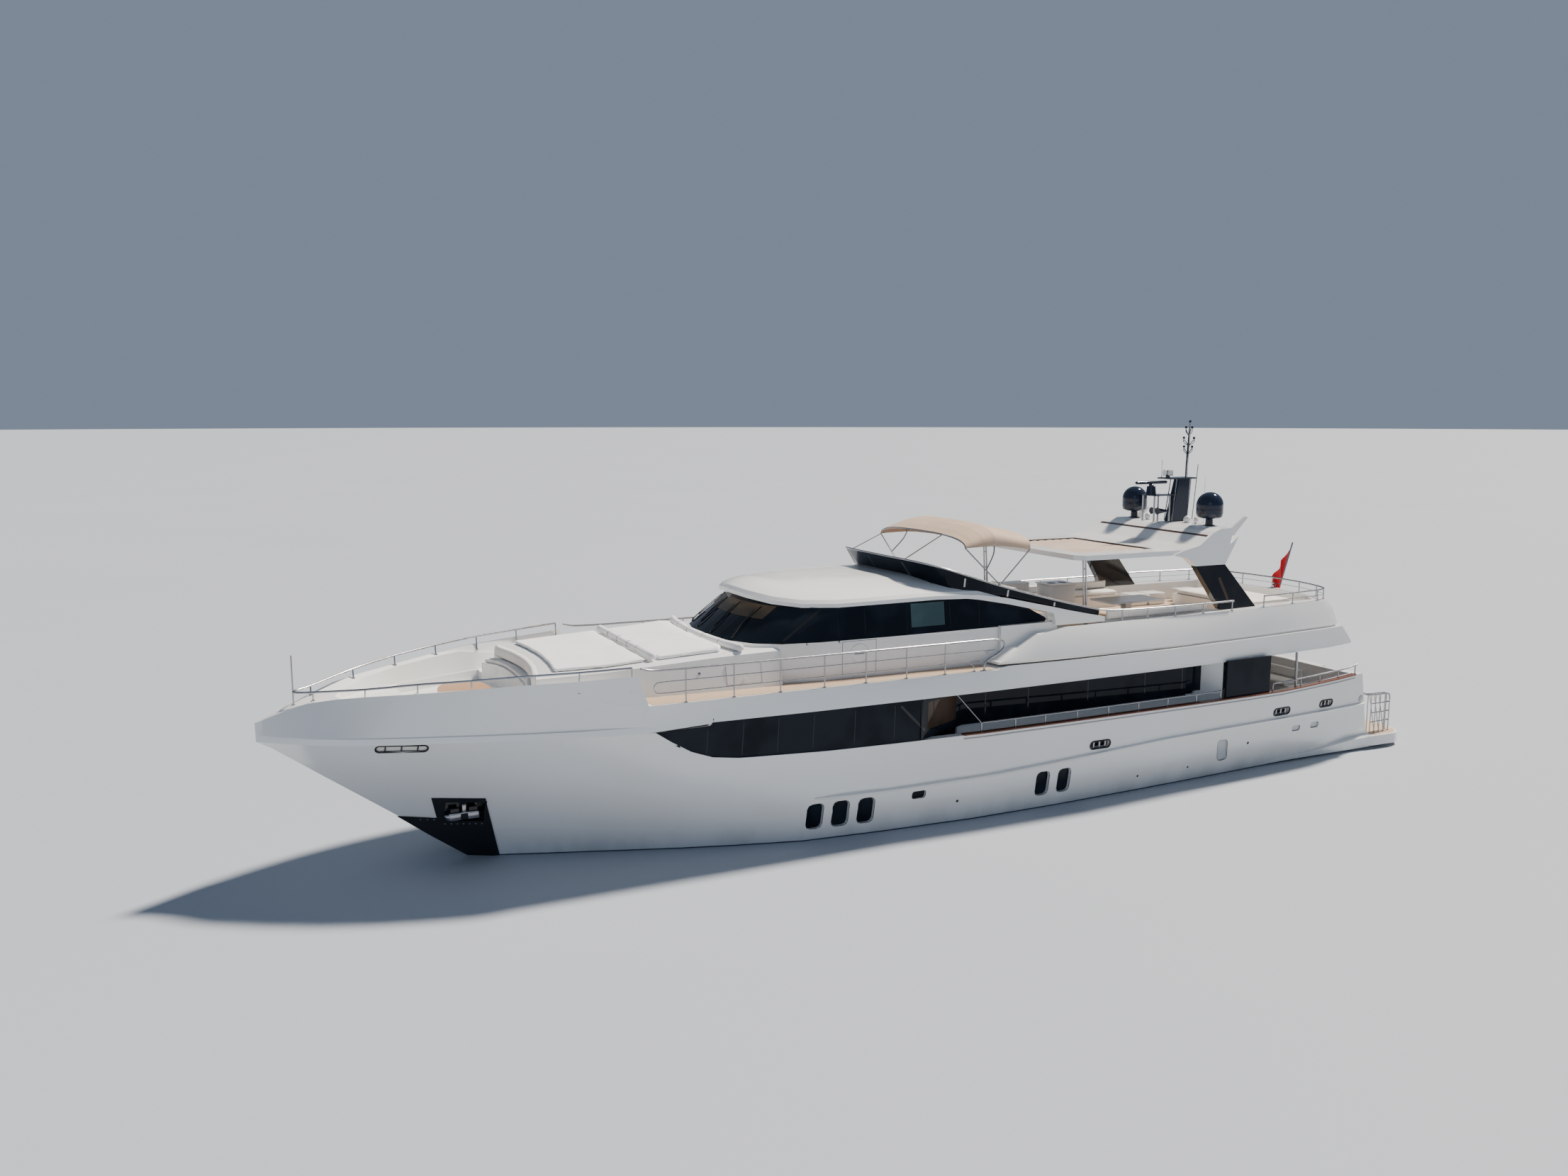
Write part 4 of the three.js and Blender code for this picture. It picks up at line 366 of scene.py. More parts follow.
ring = [(FLOOR_RADIUS * math.cos(a), FLOOR_RADIUS * math.sin(a), 0)
        for a in np.linspace(0, 2 * math.pi, 97)[:-1]]
floor_mesh = bpy.data.meshes.new("floor")
floor_mesh.from_pydata(ring, [], [list(range(96))])
floor_mesh.materials.append(pale_floor())
floor = bpy.data.objects.new("floor", floor_mesh)
bpy.context.scene.collection.objects.link(floor)

# %% [markdown]
# ## Making a piece
# Every piece ends the same way: a mesh in the boat's metres, one finish, soft shading with hard
# corners kept, and a body to ride on. One function does that for all of them.

# %% Making a piece
BODY = "yacht"
made = []


def shade(form, crease):
    for face in form.faces:
        face.smooth = True
    for edge in form.edges:
        if len(edge.link_faces) == 2 and edge.calc_face_angle(0) > math.radians(crease):
            edge.smooth = False


def piece(name, form, paint, body=BODY, crease=35, stands_for=()):
    shade(form, crease)
    mesh = bpy.data.meshes.new(name)
    form.to_mesh(mesh)
    form.free()
    mesh.materials.append(paint)
    thing = bpy.data.objects.new(name, mesh)
    bpy.context.scene.collection.objects.link(thing)
    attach(thing, body)
    if stands_for:
        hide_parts(*stands_for)
    made.append(name)
    return thing


# %% [markdown]
# ## Mouldings with soft shading
# A solid comes as loose triangles with flat shading. A welded copy takes its place, so that its
# curved parts shade smoothly, as sprayed gelcoat does, while its corners stay sharp.

# %% Mouldings
WELD = 0.0004


def welded(node):
    form = bmesh.new()
    form.from_mesh(NODES[node].data)
    bmesh.ops.remove_doubles(form, verts=form.verts, dist=WELD)
    bmesh.ops.dissolve_degenerate(form, dist=WELD, edges=form.edges)
    return form


def moulding(name, node, paint, crease):
    body = NODES[node]["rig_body"]
    return piece(name, welded(node), paint, body, crease, (node,))


MOULDINGS = [("hull_shell", "hull", HULL_PAINT, 24), ("upper_deck_shell", "upper_deck", WHITE_PAINT, 24),
             ("platform_shell", "swim_platform", WHITE_PAINT, 30),
             ("bow_plate", "anchor_plate", BLACK_GLOSS, 30),
             ("saloon_shell", "saloon_house", WHITE_PAINT, 30),
             ("trunk_shell", "foredeck_trunk", WHITE_PAINT, 30),
             ("wheelhouse_shell", "wheelhouse", WHITE_PAINT, 30),
             ("flybridge_shell", "flybridge", WHITE_PAINT, 24),
             ("wheelhouse_glazing", "wheelhouse_glass", GLASS, 40),
             ("roof_shell", "wheelhouse_roof", WHITE_PAINT, 24), ("screen_glazing", "fly_screen", GLASS, 40),
             ("hardtop_shell", "hardtop", WHITE_PAINT, 26), ("mast_shell", "mast", NAVY_GLOSS, 40),
             ("helm_console", "helm_station", RUBBER, 30), ("fly_helm_shell", "fly_helm", WHITE_PAINT, 30)]
for row in MOULDINGS:
    moulding(*row)
for side in SIDES:
    moulding(f"window_band_{side}", f"main_glass_{side}", GLASS, 40)
    moulding(f"wing_glass_{side}", f"wing_panel_{side}", GLASS, 40)
    moulding(f"sliding_door_{side}", f"saloon_door_{side}", GLASS, 30)
    moulding(f"arch_leg_{side}", f"pillar_{side}", BLACK_GLOSS, 30)
    moulding(f"locker_lid_{side}", f"locker_door_{side}", WHITE_PAINT, 30)
    moulding(f"propeller_cast_{side}", f"propeller_{side}", BRONZE, 30)
    moulding(f"rudder_blade_{side}", f"rudder_{side}", HULL_PAINT, 30)
print("mouldings:", len(made))

# %% [markdown]
# ## Collecting shapes into one piece
# Fittings are made of bars, rods, turned parts and tubes. A small collector adds each as a closed
# shape to one mesh, with its edges already eased, and ends by turning every face outwards.

# %% Collector of closed shapes
class Form:
    def __init__(self):
        self.mesh = bmesh.new()

    def skin(self, rings, closed=False):
        count = len(rings[0])
        rows = [[self.mesh.verts.new(point) for point in ring] for ring in rings]
        pairs = list(zip(rows, rows[1:])) + ([(rows[-1], rows[0])] if closed else [])
        for low, high in pairs:
            for i in range(count):
                j = (i + 1) % count
                self.mesh.faces.new((low[i], low[j], high[j], high[i]))
        if not closed:
            self.mesh.faces.new(rows[0][::-1])
            self.mesh.faces.new(rows[-1])

    def box(self, x, y, z, edge=0.01):
        part = bmesh.new()
        bmesh.ops.create_cube(part, size=1)
        size = Vector((x[1] - x[0], y[1] - y[0], z[1] - z[0]))
        middle = Vector((x[0] + x[1], y[0] + y[1], z[0] + z[1])) / 2
        part.transform(Matrix.Translation(middle) @ Matrix.Diagonal((*size, 1)))
        edge = min(edge, 0.45 * min(size))
        bmesh.ops.bevel(part, geom=part.edges, offset=edge, segments=2, profile=0.5, affect="EDGES")
        self.take(part)

    def take(self, part):
        holder = bpy.data.meshes.new("part")
        part.to_mesh(holder)
        part.free()
        self.mesh.from_mesh(holder)
        bpy.data.meshes.remove(holder)

    def tube(self, path, radius, sides=10, closed=False):
        path = [Vector(point) for point in path]
        radii = radius if isinstance(radius, (list, tuple)) else [radius] * len(path)
        up = Vector((0, 0, 1))
        rings = []
        for i, point in enumerate(path):
            ahead = path[(i + 1) % len(path)] if closed or i + 1 < len(path) else point
            behind = path[i - 1] if closed or i else point
            along = (ahead - behind).normalized()
            if i == 0 and abs(along.z) > 0.9:
                up = Vector((1, 0, 0))
            across = along.cross(up).normalized()
            up = across.cross(along).normalized()
            angles = [2 * math.pi * k / sides for k in range(sides)]
            rings.append([point + (across * math.cos(a) + up * math.sin(a)) * radii[i] for a in angles])
        self.skin(rings, closed)

    def rod(self, start, end, radius, sides=12):
        radii = radius if isinstance(radius, (list, tuple)) else [radius] * 2
        self.tube([start, end], radii, sides)

    def turned(self, profile, place, axis=(0, 0, 1), sides=20):
        turn = Vector((0, 0, 1)).rotation_difference(Vector(axis)).to_matrix()
        angles = [2 * math.pi * k / sides for k in range(sides)]
        rings = [[turn @ Vector((max(r, 0.001) * math.cos(a), max(r, 0.001) * math.sin(a), h)) + Vector(place)
                  for a in angles] for r, h in profile]
        self.skin(rings)

    def done(self, name, paint, slot, body=BODY, crease=35, stands_for=()):
        bmesh.ops.recalc_face_normals(self.mesh, faces=self.mesh.faces)
        return piece(name, self.mesh, paint, body, crease, stands_for)


def smooth_path(points, steps=6):
    points = [Vector(point) for point in points]
    line = []
    for i in range(len(points) - 1):
        before = points[max(i - 1, 0)]
        start, end = points[i], points[i + 1]
        after = points[min(i + 2, len(points) - 1)]
        for k in range(steps):
            t = k / steps
            line.append(0.5 * (2 * start + (end - before) * t + (2 * before - 5 * start + 4 * end - after) * t ** 2
                               + (3 * start - before - 3 * end + after) * t ** 3))
    return line + [points[-1]]


# %% [markdown]
# ## Finding the surface
# Fittings have to sit on a curved hull. Instead of guessing, a ray is shot at the moulding from
# outside, which gives the exact point and the way the surface faces there.

# %% Surface finder
TREES = {}
OUTBOARD = 9      # y beyond the side
OVERHEAD = 12.0   # z above the mast


def tree_of(node):
    if node not in TREES:
        form = welded(node)
        TREES[node] = BVHTree.FromBMesh(form)
        form.free()
    return TREES[node]


def hit(node, start, direction):
    point, normal, _, _ = tree_of(node).ray_cast(Vector(start), Vector(direction))
    return point, normal


def from_side(node, x, z, side):
    return hit(node, (x, side * OUTBOARD, z), (0, -side, 0))


def from_above(node, x, y):
    return hit(node, (x, y, OVERHEAD), (0, 0, -1))


# %% [markdown]
# ## Rails by Geometry Nodes
# Every rail on board is the same idea: a top bar along a path, thinner posts and a round flange
# under each post. One node tree grows all of them from a wire drawing, so the sizes stay named.

# %% Node tree helper
class Tree:
    def __init__(self, name, inputs):
        self.group = bpy.data.node_groups.new(name, "GeometryNodeTree")
        self.sockets = {}
        self.group.interface.new_socket("Geometry", in_out="INPUT", socket_type="NodeSocketGeometry")
        for label, (kind, value) in inputs.items():
            socket = self.group.interface.new_socket(label, in_out="INPUT", socket_type="NodeSocket" + kind)
            if value is not None:
                socket.default_value = value
            self.sockets[label] = socket.identifier
        self.group.interface.new_socket("Geometry", in_out="OUTPUT", socket_type="NodeSocketGeometry")
        self.given = self.group.nodes.new("NodeGroupInput").outputs
        self.result = self.group.nodes.new("NodeGroupOutput").inputs["Geometry"]

    def add(self, kind, settings, sockets, out=0):
        node = self.group.nodes.new(kind)
        for key, setting in settings.items():
            setattr(node, key, setting)
        for key, value in sockets.items():
            if isinstance(value, bpy.types.NodeSocket):
                self.group.links.new(value, node.inputs[key])
            elif isinstance(value, list):
                for link in value:
                    self.group.links.new(link, node.inputs[key])
            else:
                node.inputs[key].default_value = value
        return node.outputs[out]

    def flag(self, name):
        return self.add("GeometryNodeInputNamedAttribute", {"data_type": "FLOAT"}, {"Name": name})

    def close(self, shape):
        whole = self.add("GeometryNodeRealizeInstances", {}, {"Geometry": shape})
        finished = self.add("GeometryNodeSetMaterial", {}, {"Geometry": whole, "Material": self.given["Finish"]})
        self.group.links.new(finished, self.result)


def grow(tree, drawing, name, paint, **sizes):
    host = bpy.data.objects.new(name, drawing)
    bpy.context.scene.collection.objects.link(host)
    modifier = host.modifiers.new("grow", "NODES")
    modifier.node_group = tree.group
    modifier[tree.sockets["Finish"]] = paint
    for label, value in sizes.items():
        modifier[tree.sockets[label]] = value
    view = bpy.context.evaluated_depsgraph_get()
    mesh = bpy.data.meshes.new_from_object(host.evaluated_get(view))
    bpy.data.objects.remove(host)
    form = bmesh.new()
    form.from_mesh(mesh)
    for face in form.faces:
        face.material_index = 0
    return form


# %% Rail tree
def rail_tree():
    tree = Tree("rail", {"Finish": ("Material", None), "Bar": ("Float", 0.024), "Post": ("Float", 0.017),
                         "Wire": ("Float", 0.009), "Flange": ("Float", 0.042)})
    wires = tree.given["Geometry"]
    parts = []
    for label, sides in (("Bar", 12), ("Post", 10), ("Wire", 8)):
        line = tree.add("GeometryNodeMeshToCurve", {}, {"Mesh": wires, "Selection": tree.flag(label.lower())})
        section = tree.add("GeometryNodeCurvePrimitiveCircle", {},
                           {"Resolution": sides, "Radius": tree.given[label]})
        parts.append(tree.add("GeometryNodeCurveToMesh", {},
                              {"Curve": line, "Profile Curve": section, "Fill Caps": True}))
    feet = tree.add("GeometryNodeMeshToPoints", {}, {"Mesh": wires, "Selection": tree.flag("foot")})
    plate = tree.add("GeometryNodeMeshCylinder", {},
                     {"Vertices": 14, "Radius": tree.given["Flange"], "Depth": 0.014})
    parts.append(tree.add("GeometryNodeInstanceOnPoints", {}, {"Points": feet, "Instance": plate}))
    tree.close(tree.add("GeometryNodeJoinGeometry", {}, {"Geometry": parts[::-1]}))
    return tree


RAIL_TREE = rail_tree()


def rail(name, node, bars=(), posts=(), wires=(), feet=(), **sizes):
    lines = [(path, kind) for kind, paths in (("bar", bars), ("post", posts), ("wire", wires)) for path in paths]
    points, edges, kinds = [], [], []
    for path, kind in lines:
        start = len(points)
        points += [tuple(point) for point in path]
        edges += [(start + i, start + i + 1) for i in range(len(path) - 1)]
        kinds += [kind] * (len(path) - 1)
    first_foot = len(points)
    points += [tuple(point) for point in feet]
    drawing = bpy.data.meshes.new(name)
    drawing.from_pydata(points, edges, [])
    for kind in ("bar", "post", "wire"):
        flags = drawing.attributes.new(kind, "FLOAT", "EDGE")
        flags.data.foreach_set("value", [1.0 if k == kind else 0.0 for k in kinds])
    foot = drawing.attributes.new("foot", "FLOAT", "POINT")
    foot.data.foreach_set("value", [1.0 if i >= first_foot else 0.0 for i in range(len(points))])
    form = grow(RAIL_TREE, drawing, name, STEEL, **sizes)
    bmesh.ops.remove_doubles(form, verts=form.verts, dist=0.0001)
    bmesh.ops.recalc_face_normals(form, faces=form.faces)
    return piece(name, form, STEEL, BODY, 40, (node,))


def flip(points, side):
    return [(x, y * side, z) for x, y, z in points]


# %% Rails of the foredeck and the side decks
BOW_RAIL = [(8.79, 3.08, 4.64), (9.85, 2.84, 4.59), (10.89, 2.55, 4.55), (11.93, 2.17, 4.48), (12.93, 1.69, 4.40),
            (13.90, 1.14, 4.28), (14.85, 0.34, 4.15)]
POST_INBOARD = 0.06   # how far a post's foot stands inside the rail
NOSE = [(15.12, 0.15, 4.13), (15.22, 0, 4.125), (15.12, -0.15, 4.13)]
whole_line = smooth_path(BOW_RAIL + NOSE + flip(BOW_RAIL[::-1], -1), 5)
bow_posts, bow_feet = [], []
for x, y, top in BOW_RAIL:
    for sign in (1, -1):
        foot_y = sign * (y - POST_INBOARD)
        seat, _ = from_above("upper_deck", x, foot_y)
        bow_posts.append([(x, foot_y, seat.z - 0.01), (x, sign * y, top)])
        bow_feet.append((x, foot_y, seat.z + 0.004))
staff, _ = from_above("upper_deck", 15.22, 0)
bow_posts.append([(15.22, 0, staff.z - 0.02), (15.22, 0, 4.9)])
bow_feet.append((15.22, 0, staff.z + 0.004))
rail("bow_rail", "foredeck_rail", [whole_line], bow_posts, feet=bow_feet)

SIDE_RAIL_Y = 3.05
SIDE_RAIL_Z = 4.52
DECK_Z = 3.78
FLANGE_LIFT = 0.006   # the middle of a flange above its deck
for side, sign in SIDES.items():
    y = SIDE_RAIL_Y
    front = [(8.6, 3.085, 4.61), (8.3, y, 4.54), (7.58, y, SIDE_RAIL_Z)]
    back = [(-0.3, y, SIDE_RAIL_Z), (-0.58, y, 4.47), (-0.66, y, 4.33), (-0.5, y, 4.18), (-0.2, y, 4.04),
            (-0.09, y, 3.93), (-0.09, y, DECK_Z)]
    path = smooth_path(front, 4) + smooth_path(back, 5)
    xs = [7.58, 6.46, 5.34, 4.24, 3.17, 2.09, 1.03]
    posts = [[(x, y * sign, DECK_Z), (x, y * sign, SIDE_RAIL_Z)] for x in xs]
    loop = [(7.5, y, 4.03), (8.12, y, 4.03), (8.26, y, 4.06), (8.3, y, 4.15), (8.26, y, 4.24), (8.12, y, 4.27),
            (7.5, y, 4.27)]
    low = [(7.58, y, 4.03), (0.6, y, 4.03), (0.35, y, 4.0), (0.22, y, 3.9), (0.2, y, DECK_Z)]
    high = [(7.58, y, 4.27), (0.2, y, 4.27), (-0.1, y, 4.23), (-0.24, y, 4.12)]
    wires = [flip(smooth_path(line, 4), sign) for line in (loop, low, high)]
    feet = [(x, y * sign, DECK_Z + FLANGE_LIFT) for x in xs + [-0.09, 0.2]]
    rail(f"side_deck_rail_{side}", f"side_rail_{side}", [flip(path, sign)], posts, wires, feet, Wire=0.011)

# %% Rails along the main deck
WALKWAY_RAIL = 0.235   # height above the cap rail
CAP_LINE = [(-13.5, 2.42), (-12.0, 2.35), (-10.0, 2.27), (0.0, 2.27), (4.1, 2.3)]


def cap_height(x):
    return float(np.interp(x, [row[0] for row in CAP_LINE], [row[1] for row in CAP_LINE]))


def cap_point(x, side, lift, inboard=0.09):
    z = cap_height(x)
    edge, _ = from_side("hull", x, z - 0.02, side)
    return (x, edge.y - side * inboard, z + lift)


for side, sign in SIDES.items():
    path = [cap_point(x, sign, WALKWAY_RAIL) for x in np.linspace(0.0, -7.8, 14)]
    xs = [0, -1.0, -1.9, -2.9, -3.9, -4.9, -5.9, -6.9, -7.78]
    posts = [[cap_point(x, sign, -0.01), cap_point(x, sign, WALKWAY_RAIL)] for x in xs]
    stay = [path[0], (0.7, 3.02 * sign, 3.29)]
    rail(f"walkway_handrail_{side}", f"walkway_rail_{side}", [path], posts, [stay],
         [cap_point(x, sign, FLANGE_LIFT) for x in xs], Wire=0.013)
    path = [cap_point(x, sign, 0.23) for x in np.linspace(-9.75, -13.0, 8)] + [cap_point(-13.38, sign, 0.27)]
    xs = [-9.78, -10.9, -11.7, -12.5, -13.3]
    posts = [[cap_point(x, sign, -0.01), cap_point(x, sign, 0.24)] for x in xs]
    foot = Vector(cap_point(-10.7, sign, -0.02))
    pillar = [foot, foot + Vector((0, -0.03 * sign, 3.3 - foot.z))]
    rail(f"cockpit_handrail_{side}", f"cockpit_rail_{side}", [path], posts, [pillar],
         [cap_point(x, sign, FLANGE_LIFT) for x in xs], Wire=0.036)
print("rails:", [name for name in made if "rail" in name])

# %% Rails of the flybridge and the stern
SCREEN_TOP = [(1.35, 0, 6.37), (1.33, 0.72, 6.365), (1.24, 1.43, 6.35), (1.03, 1.93, 6.3), (0.6, 2.24, 6.18),
              (0.11, 2.36, 6.02), (-1.08, 2.47, 5.64), (-2.7, 2.61, 5.2), (-3.85, 2.67, 4.93)]
COAMING_TOP = 4.64
SCREEN_RAIL_Z = 4.905
half = [(x, y - 0.015 if y else 0, z + 0.022) for x, y, z in SCREEN_TOP]
aft = [(-4.5, 2.79, 4.915), (-6.2, 2.88, SCREEN_RAIL_Z), (-8.3, 2.82, SCREEN_RAIL_Z)]
line = smooth_path(flip(half[:0:-1], -1) + half, 4)
port_aft = smooth_path([half[-1]] + aft, 5)
xs = [-4.5, -5.3, -6.2, -7.2, -8.25]
side_y = {x: float(np.interp(x, [-8.3, -6.2, -4.5], [2.82, 2.88, 2.79])) for x in xs}
stations = [(x, sign * y) for x, y in side_y.items() for sign in (1, -1)]
posts = [[(x, y, COAMING_TOP - 0.01), (x, y, SCREEN_RAIL_Z)] for x, y in stations]
feet = [(x, y, COAMING_TOP + FLANGE_LIFT) for x, y in stations]
rail("screen_handrail", "fly_screen_rail", [line, port_aft, flip(port_aft, -1)], posts, feet=feet)

STAFF_FOOT = Vector((-12.957, 0, 4.3))
STAFF_RAKE = Vector((-0.33, 0, 1)).normalized()
AFT_RAIL = [(-9.5, 2.74), (-10.7, 2.64), (-11.8, 2.52), (-12.2, 2.38), (-12.46, 1.9), (-12.66, 1.1), (-12.75, 0)]
AFT_RAIL_Z = 4.95
half = [(x, y, AFT_RAIL_Z) for x, y in AFT_RAIL]
line = smooth_path(half + flip(half[-2::-1], -1), 5)
stations = half + flip(half[:-1], -1)
posts = [[(x, y, COAMING_TOP - 0.01), (x, y, AFT_RAIL_Z)] for x, y, _ in stations]
feet = [(x, y, COAMING_TOP + FLANGE_LIFT) for x, y, _ in stations]
staff = [STAFF_FOOT, STAFF_FOOT + STAFF_RAKE * 1.78]
socket = [(-12.75, 0, 4.72), STAFF_FOOT + STAFF_RAKE * 0.44]
low = smooth_path([(x, y, 4.79) for x, y, _ in half + flip(half[-2::-1], -1)], 5)
rail("aft_handrail", "fly_aft_rail", [line, staff], posts + [socket], [low], feet, Wire=0.008)

PLATFORM_Z = 0.4
FLY_DECK_Z = 4.1
POLE_Y = 2.22
for side, sign in SIDES.items():
    y = 2.33 * sign
    inner = 2.21 * sign
    xs = [-15.35, -15.15, -14.95, -14.75, -14.56]
    top = smooth_path([(-14.05, y, 1.74), (-14.3, y, 1.62), (-14.56, y, 1.58), (-15.2, y, 1.56), (-15.33, y, 1.5),
                       (-15.35, y, 1.38)], 4)
    twin = [(x, inner, z) for x, _, z in top]
    posts = [[(x, y, PLATFORM_Z), (x, y, 1.56)] for x in xs[1:]] + [[(-15.35, y, PLATFORM_Z), (-15.35, y, 1.4)]]
    posts += [[(-15.35, inner, PLATFORM_Z), (-15.35, inner, 1.4)],
              [(-14.56, inner, PLATFORM_Z), (-14.56, inner, 1.56)]]
    bars = [[(-15.35, y, z), (-14.56, y, z)] for z in (1.3, 1.02, 0.74)]
    slants = [[(-15.3 + 0.2 * i, inner, PLATFORM_Z + 0.02), (-15.02 + 0.2 * i, inner, 1.54)] for i in range(3)]
    steps = [[(-15.35, y, z), (-15.35, inner, z)] for z in (1.3, 1.02, 0.74)]
    feet = [(x, y, PLATFORM_Z + FLANGE_LIFT) for x in xs] + [(-15.35, inner, PLATFORM_Z + FLANGE_LIFT)]
    rail(f"stern_gate_{side}", f"boarding_rail_{side}", [top, twin], posts + bars, slants + steps, feet,
         Wire=0.013)
    y = POLE_Y * sign
    legs = [[(-3.76 - dx, y, FLY_DECK_Z), (-3.64 - dx, y, 6.17)] for dx in (0, 0.08)]
    rungs = [[(-3.76 + 0.058 * (z - FLY_DECK_Z), y, z), (-3.84 + 0.058 * (z - FLY_DECK_Z), y, z)]
             for z in (4.6, 5.05, 5.5, 5.95)]
    rail(f"roof_pole_{side}", f"hardtop_pole_{side}", legs, rungs, feet=[(-3.8, y, FLY_DECK_Z + FLANGE_LIFT)],
         Flange=0.09)

# %% Hoops of the awning
# Columns: x, crown height, edge height, half-width and the exponent of the arch.
BIMINI = [(-0.13, 6.93, 6.64, 2.10, 0.42), (-0.35, 7.03, 6.65, 2.11, 0.38), (-0.65, 7.13, 6.658, 2.118, 0.32),
          (-0.97, 7.19, 6.66, 2.12, 0.28), (-1.28, 7.12, 6.64, 2.112, 0.28), (-1.55, 7.045, 6.605, 2.105, 0.28),
          (-1.82, 6.985, 6.565, 2.095, 0.28), (-2.08, 6.945, 6.515, 2.08, 0.28)]
HOOP_ROWS = (0, 3, 7)
CANVAS_THICK = 0.014
SHOE = (-0.92, 2.439, 5.712)


def awning_point(row, u, drop):
    x, crown, edge, half, exponent = row
    rise = (crown - edge) * (1 - abs(u) ** 3) ** exponent
    return (x, (half - drop) * u, edge + rise * (1 - drop / (crown - edge)))


def shares(count):
    return [math.sin(a) for a in np.linspace(-math.pi / 2, math.pi / 2, count)]


hoops = [[awning_point(BIMINI[row], u, CANVAS_THICK + 0.018) for u in shares(33)] for row in HOOP_ROWS]
legs, shoes = [], []
for sign in (1, -1):
    foot = Vector((SHOE[0], SHOE[1] * sign, SHOE[2] + 0.02))
    ends = [Vector(arch[-1] if sign > 0 else arch[0]) for arch in hoops]
    branch = foot.lerp(ends[0], 0.4)
    bend = branch.lerp(ends[1], 0.62) + Vector((-0.06, 0, 0))
    legs += [[foot, ends[0]], smooth_path([branch, bend, ends[1]], 5), [foot, ends[2]]]
    shoes.append([foot - Vector((0, 0, 0.02)), foot + Vector((0, 0, 0.065))])
straps = [[hoops[0][0], (0.9, -1.96, 6.24)]]
rail("awning_hoops", "bimini_frame", hoops + legs, shoes, straps, Bar=0.017, Post=0.03, Wire=0.012)

# %% [markdown]
# ## Domes, radar and mast
# The satellite domes are two moulded shells that meet in a flat seam, bolted to a short foot. The
# mast carries the lights, horns, aerials and the turning radar.

# %% Domes
DOME_FOOT = (-8.56, 1.52, 6.83)
DOME_R = 0.36


def dome_profile():
    skirt = [(0.0, 0.0), (0.16, 0.0), (0.16, 0.018), (0.105, 0.024), (0.1, 0.17), (0.13, 0.195)]
    bowl = [(0.13 + 0.21 * math.sin(a), 0.265 - 0.07 * math.cos(a)) for a in np.linspace(0.2, math.pi / 2, 6)]
    wall = [(DOME_R - 0.004, 0.33), (DOME_R, 0.34), (DOME_R, 0.452), (DOME_R - 0.006, 0.456),
            (DOME_R - 0.006, 0.464), (DOME_R, 0.468), (DOME_R, 0.57)]
    cap = [(DOME_R * math.cos(a), 0.57 + DOME_R * math.sin(a)) for a in np.linspace(0.08, math.pi / 2, 13)]
    return skirt + bowl + wall + cap


for side, sign in SIDES.items():
    form = Form()
    place = (DOME_FOOT[0], DOME_FOOT[1] * sign, DOME_FOOT[2] + 0.0003)
    form.turned(dome_profile(), place, sides=44)
    form.done(f"satellite_dome_{side}", NAVY_GLOSS, "black_gloss", crease=30, stands_for=(f"dome_{side}",))

# %% Radar scanner and what the mast carries
form = Form()
RADAR = Vector((-7.8, 0, 7.86))
section = [(0.055 * math.cos(a), 0.045 * math.sin(a)) for a in np.linspace(0, 2 * math.pi, 17)[:-1]]
ends = [(-0.56, 0.5), (-0.55, 0.9), (-0.52, 1.0), (0.52, 1.0), (0.55, 0.9), (0.56, 0.5)]
form.skin([[RADAR + Vector((x, u * s, 0.105 + v * s)) for u, v in section] for x, s in ends])
form.turned([(0.07, 0.001), (0.07, 0.05), (0.045, 0.07)], RADAR, sides=20)
form.done("radar_bar", NAVY_GLOSS, "radar_paint", body="radar", stands_for=("radar_scanner",))

form = Form()
for y in (-0.153, 0.153):
    form.tube([(-8.47, y, 6.86), (-8.63, y * 0.76, 8.05)], 0.014, 8)
    form.tube([(-9.035, y, 6.86), (-9.17, y * 0.76, 8.05)], 0.014, 8)
for y in (-0.232, 0.232):
    form.tube([(-7.73, y, 6.86), (-7.73, y, 7.61)], 0.026, 12)
    form.tube([(-8.29, y, 6.86), (-8.29, y, 7.61)], 0.026, 12)
form.tube([(-9.105, 0.0, 8.1), (-9.105, 0, 8.4), (-9.15, 0, 9.66)], 0.03, 12)
form.tube([(-9.36, 0.03, 6.86), (-9.5, 0.03, 8.45)], 0.012, 8)
for x, z, spread in ((-9.13, 9.0, 0.2), (-9.11, 8.75, 0.16), (-9.12, 9.3, 0.12)):
    form.tube(smooth_path([(x, -spread, z + 0.19), (x, -spread, z + 0.1), (x, 0, z), (x, spread, z + 0.1),
                           (x, spread, z + 0.19)], 4), 0.014, 8)
form.done("mast_steelwork", STEEL, "steel")

form = Form()
for x, y, z, low, high in ((-9.0, 0.12, 8.08, 0.012, 0.62), (-8.35, -0.2, 8.08, 0.01, 0.52),
                           (-8.95, 0.9, 6.83, 0.011, 1.3)):
    form.tube([(x, y, z), (x, y, z + low * 4)], 0.02, 8)
    form.tube([(x, y, z + 0.04), (x, y, z + high)], [low, 0.005], 8)
form.done("whip_aerials", WHITE_PAINT, "superstructure")

form = Form()
form.turned([(0.05, 0), (0.05, 0.07), (0.1, 0.09), (0.115, 0.16), (0.09, 0.22), (0.0, 0.235)], (-8.4, 0, 8.09),
            sides=24)
form.box((-8.5, -8.3), (-0.11, 0.11), (8.15, 8.31), 0.03)
form.rod((-8.3, 0, 8.24), (-8.27, 0, 8.24), 0.085, 24)
for x, y, r in ((-8.62, 0.62, 0.11), (-8.6, 0.98, 0.07), (-8.35, -0.7, 0.09)):
    profile = [(r * 0.7, 0), (r * 0.7, 0.03), (r, 0.06), (r, 0.11), (r * 0.75, 0.17), (r * 0.3, 0.2), (0, 0.205)]
    form.turned(profile, (x, y, 6.831), sides=24)
form.done("searchlight_and_gps", WHITE_PAINT, "superstructure")

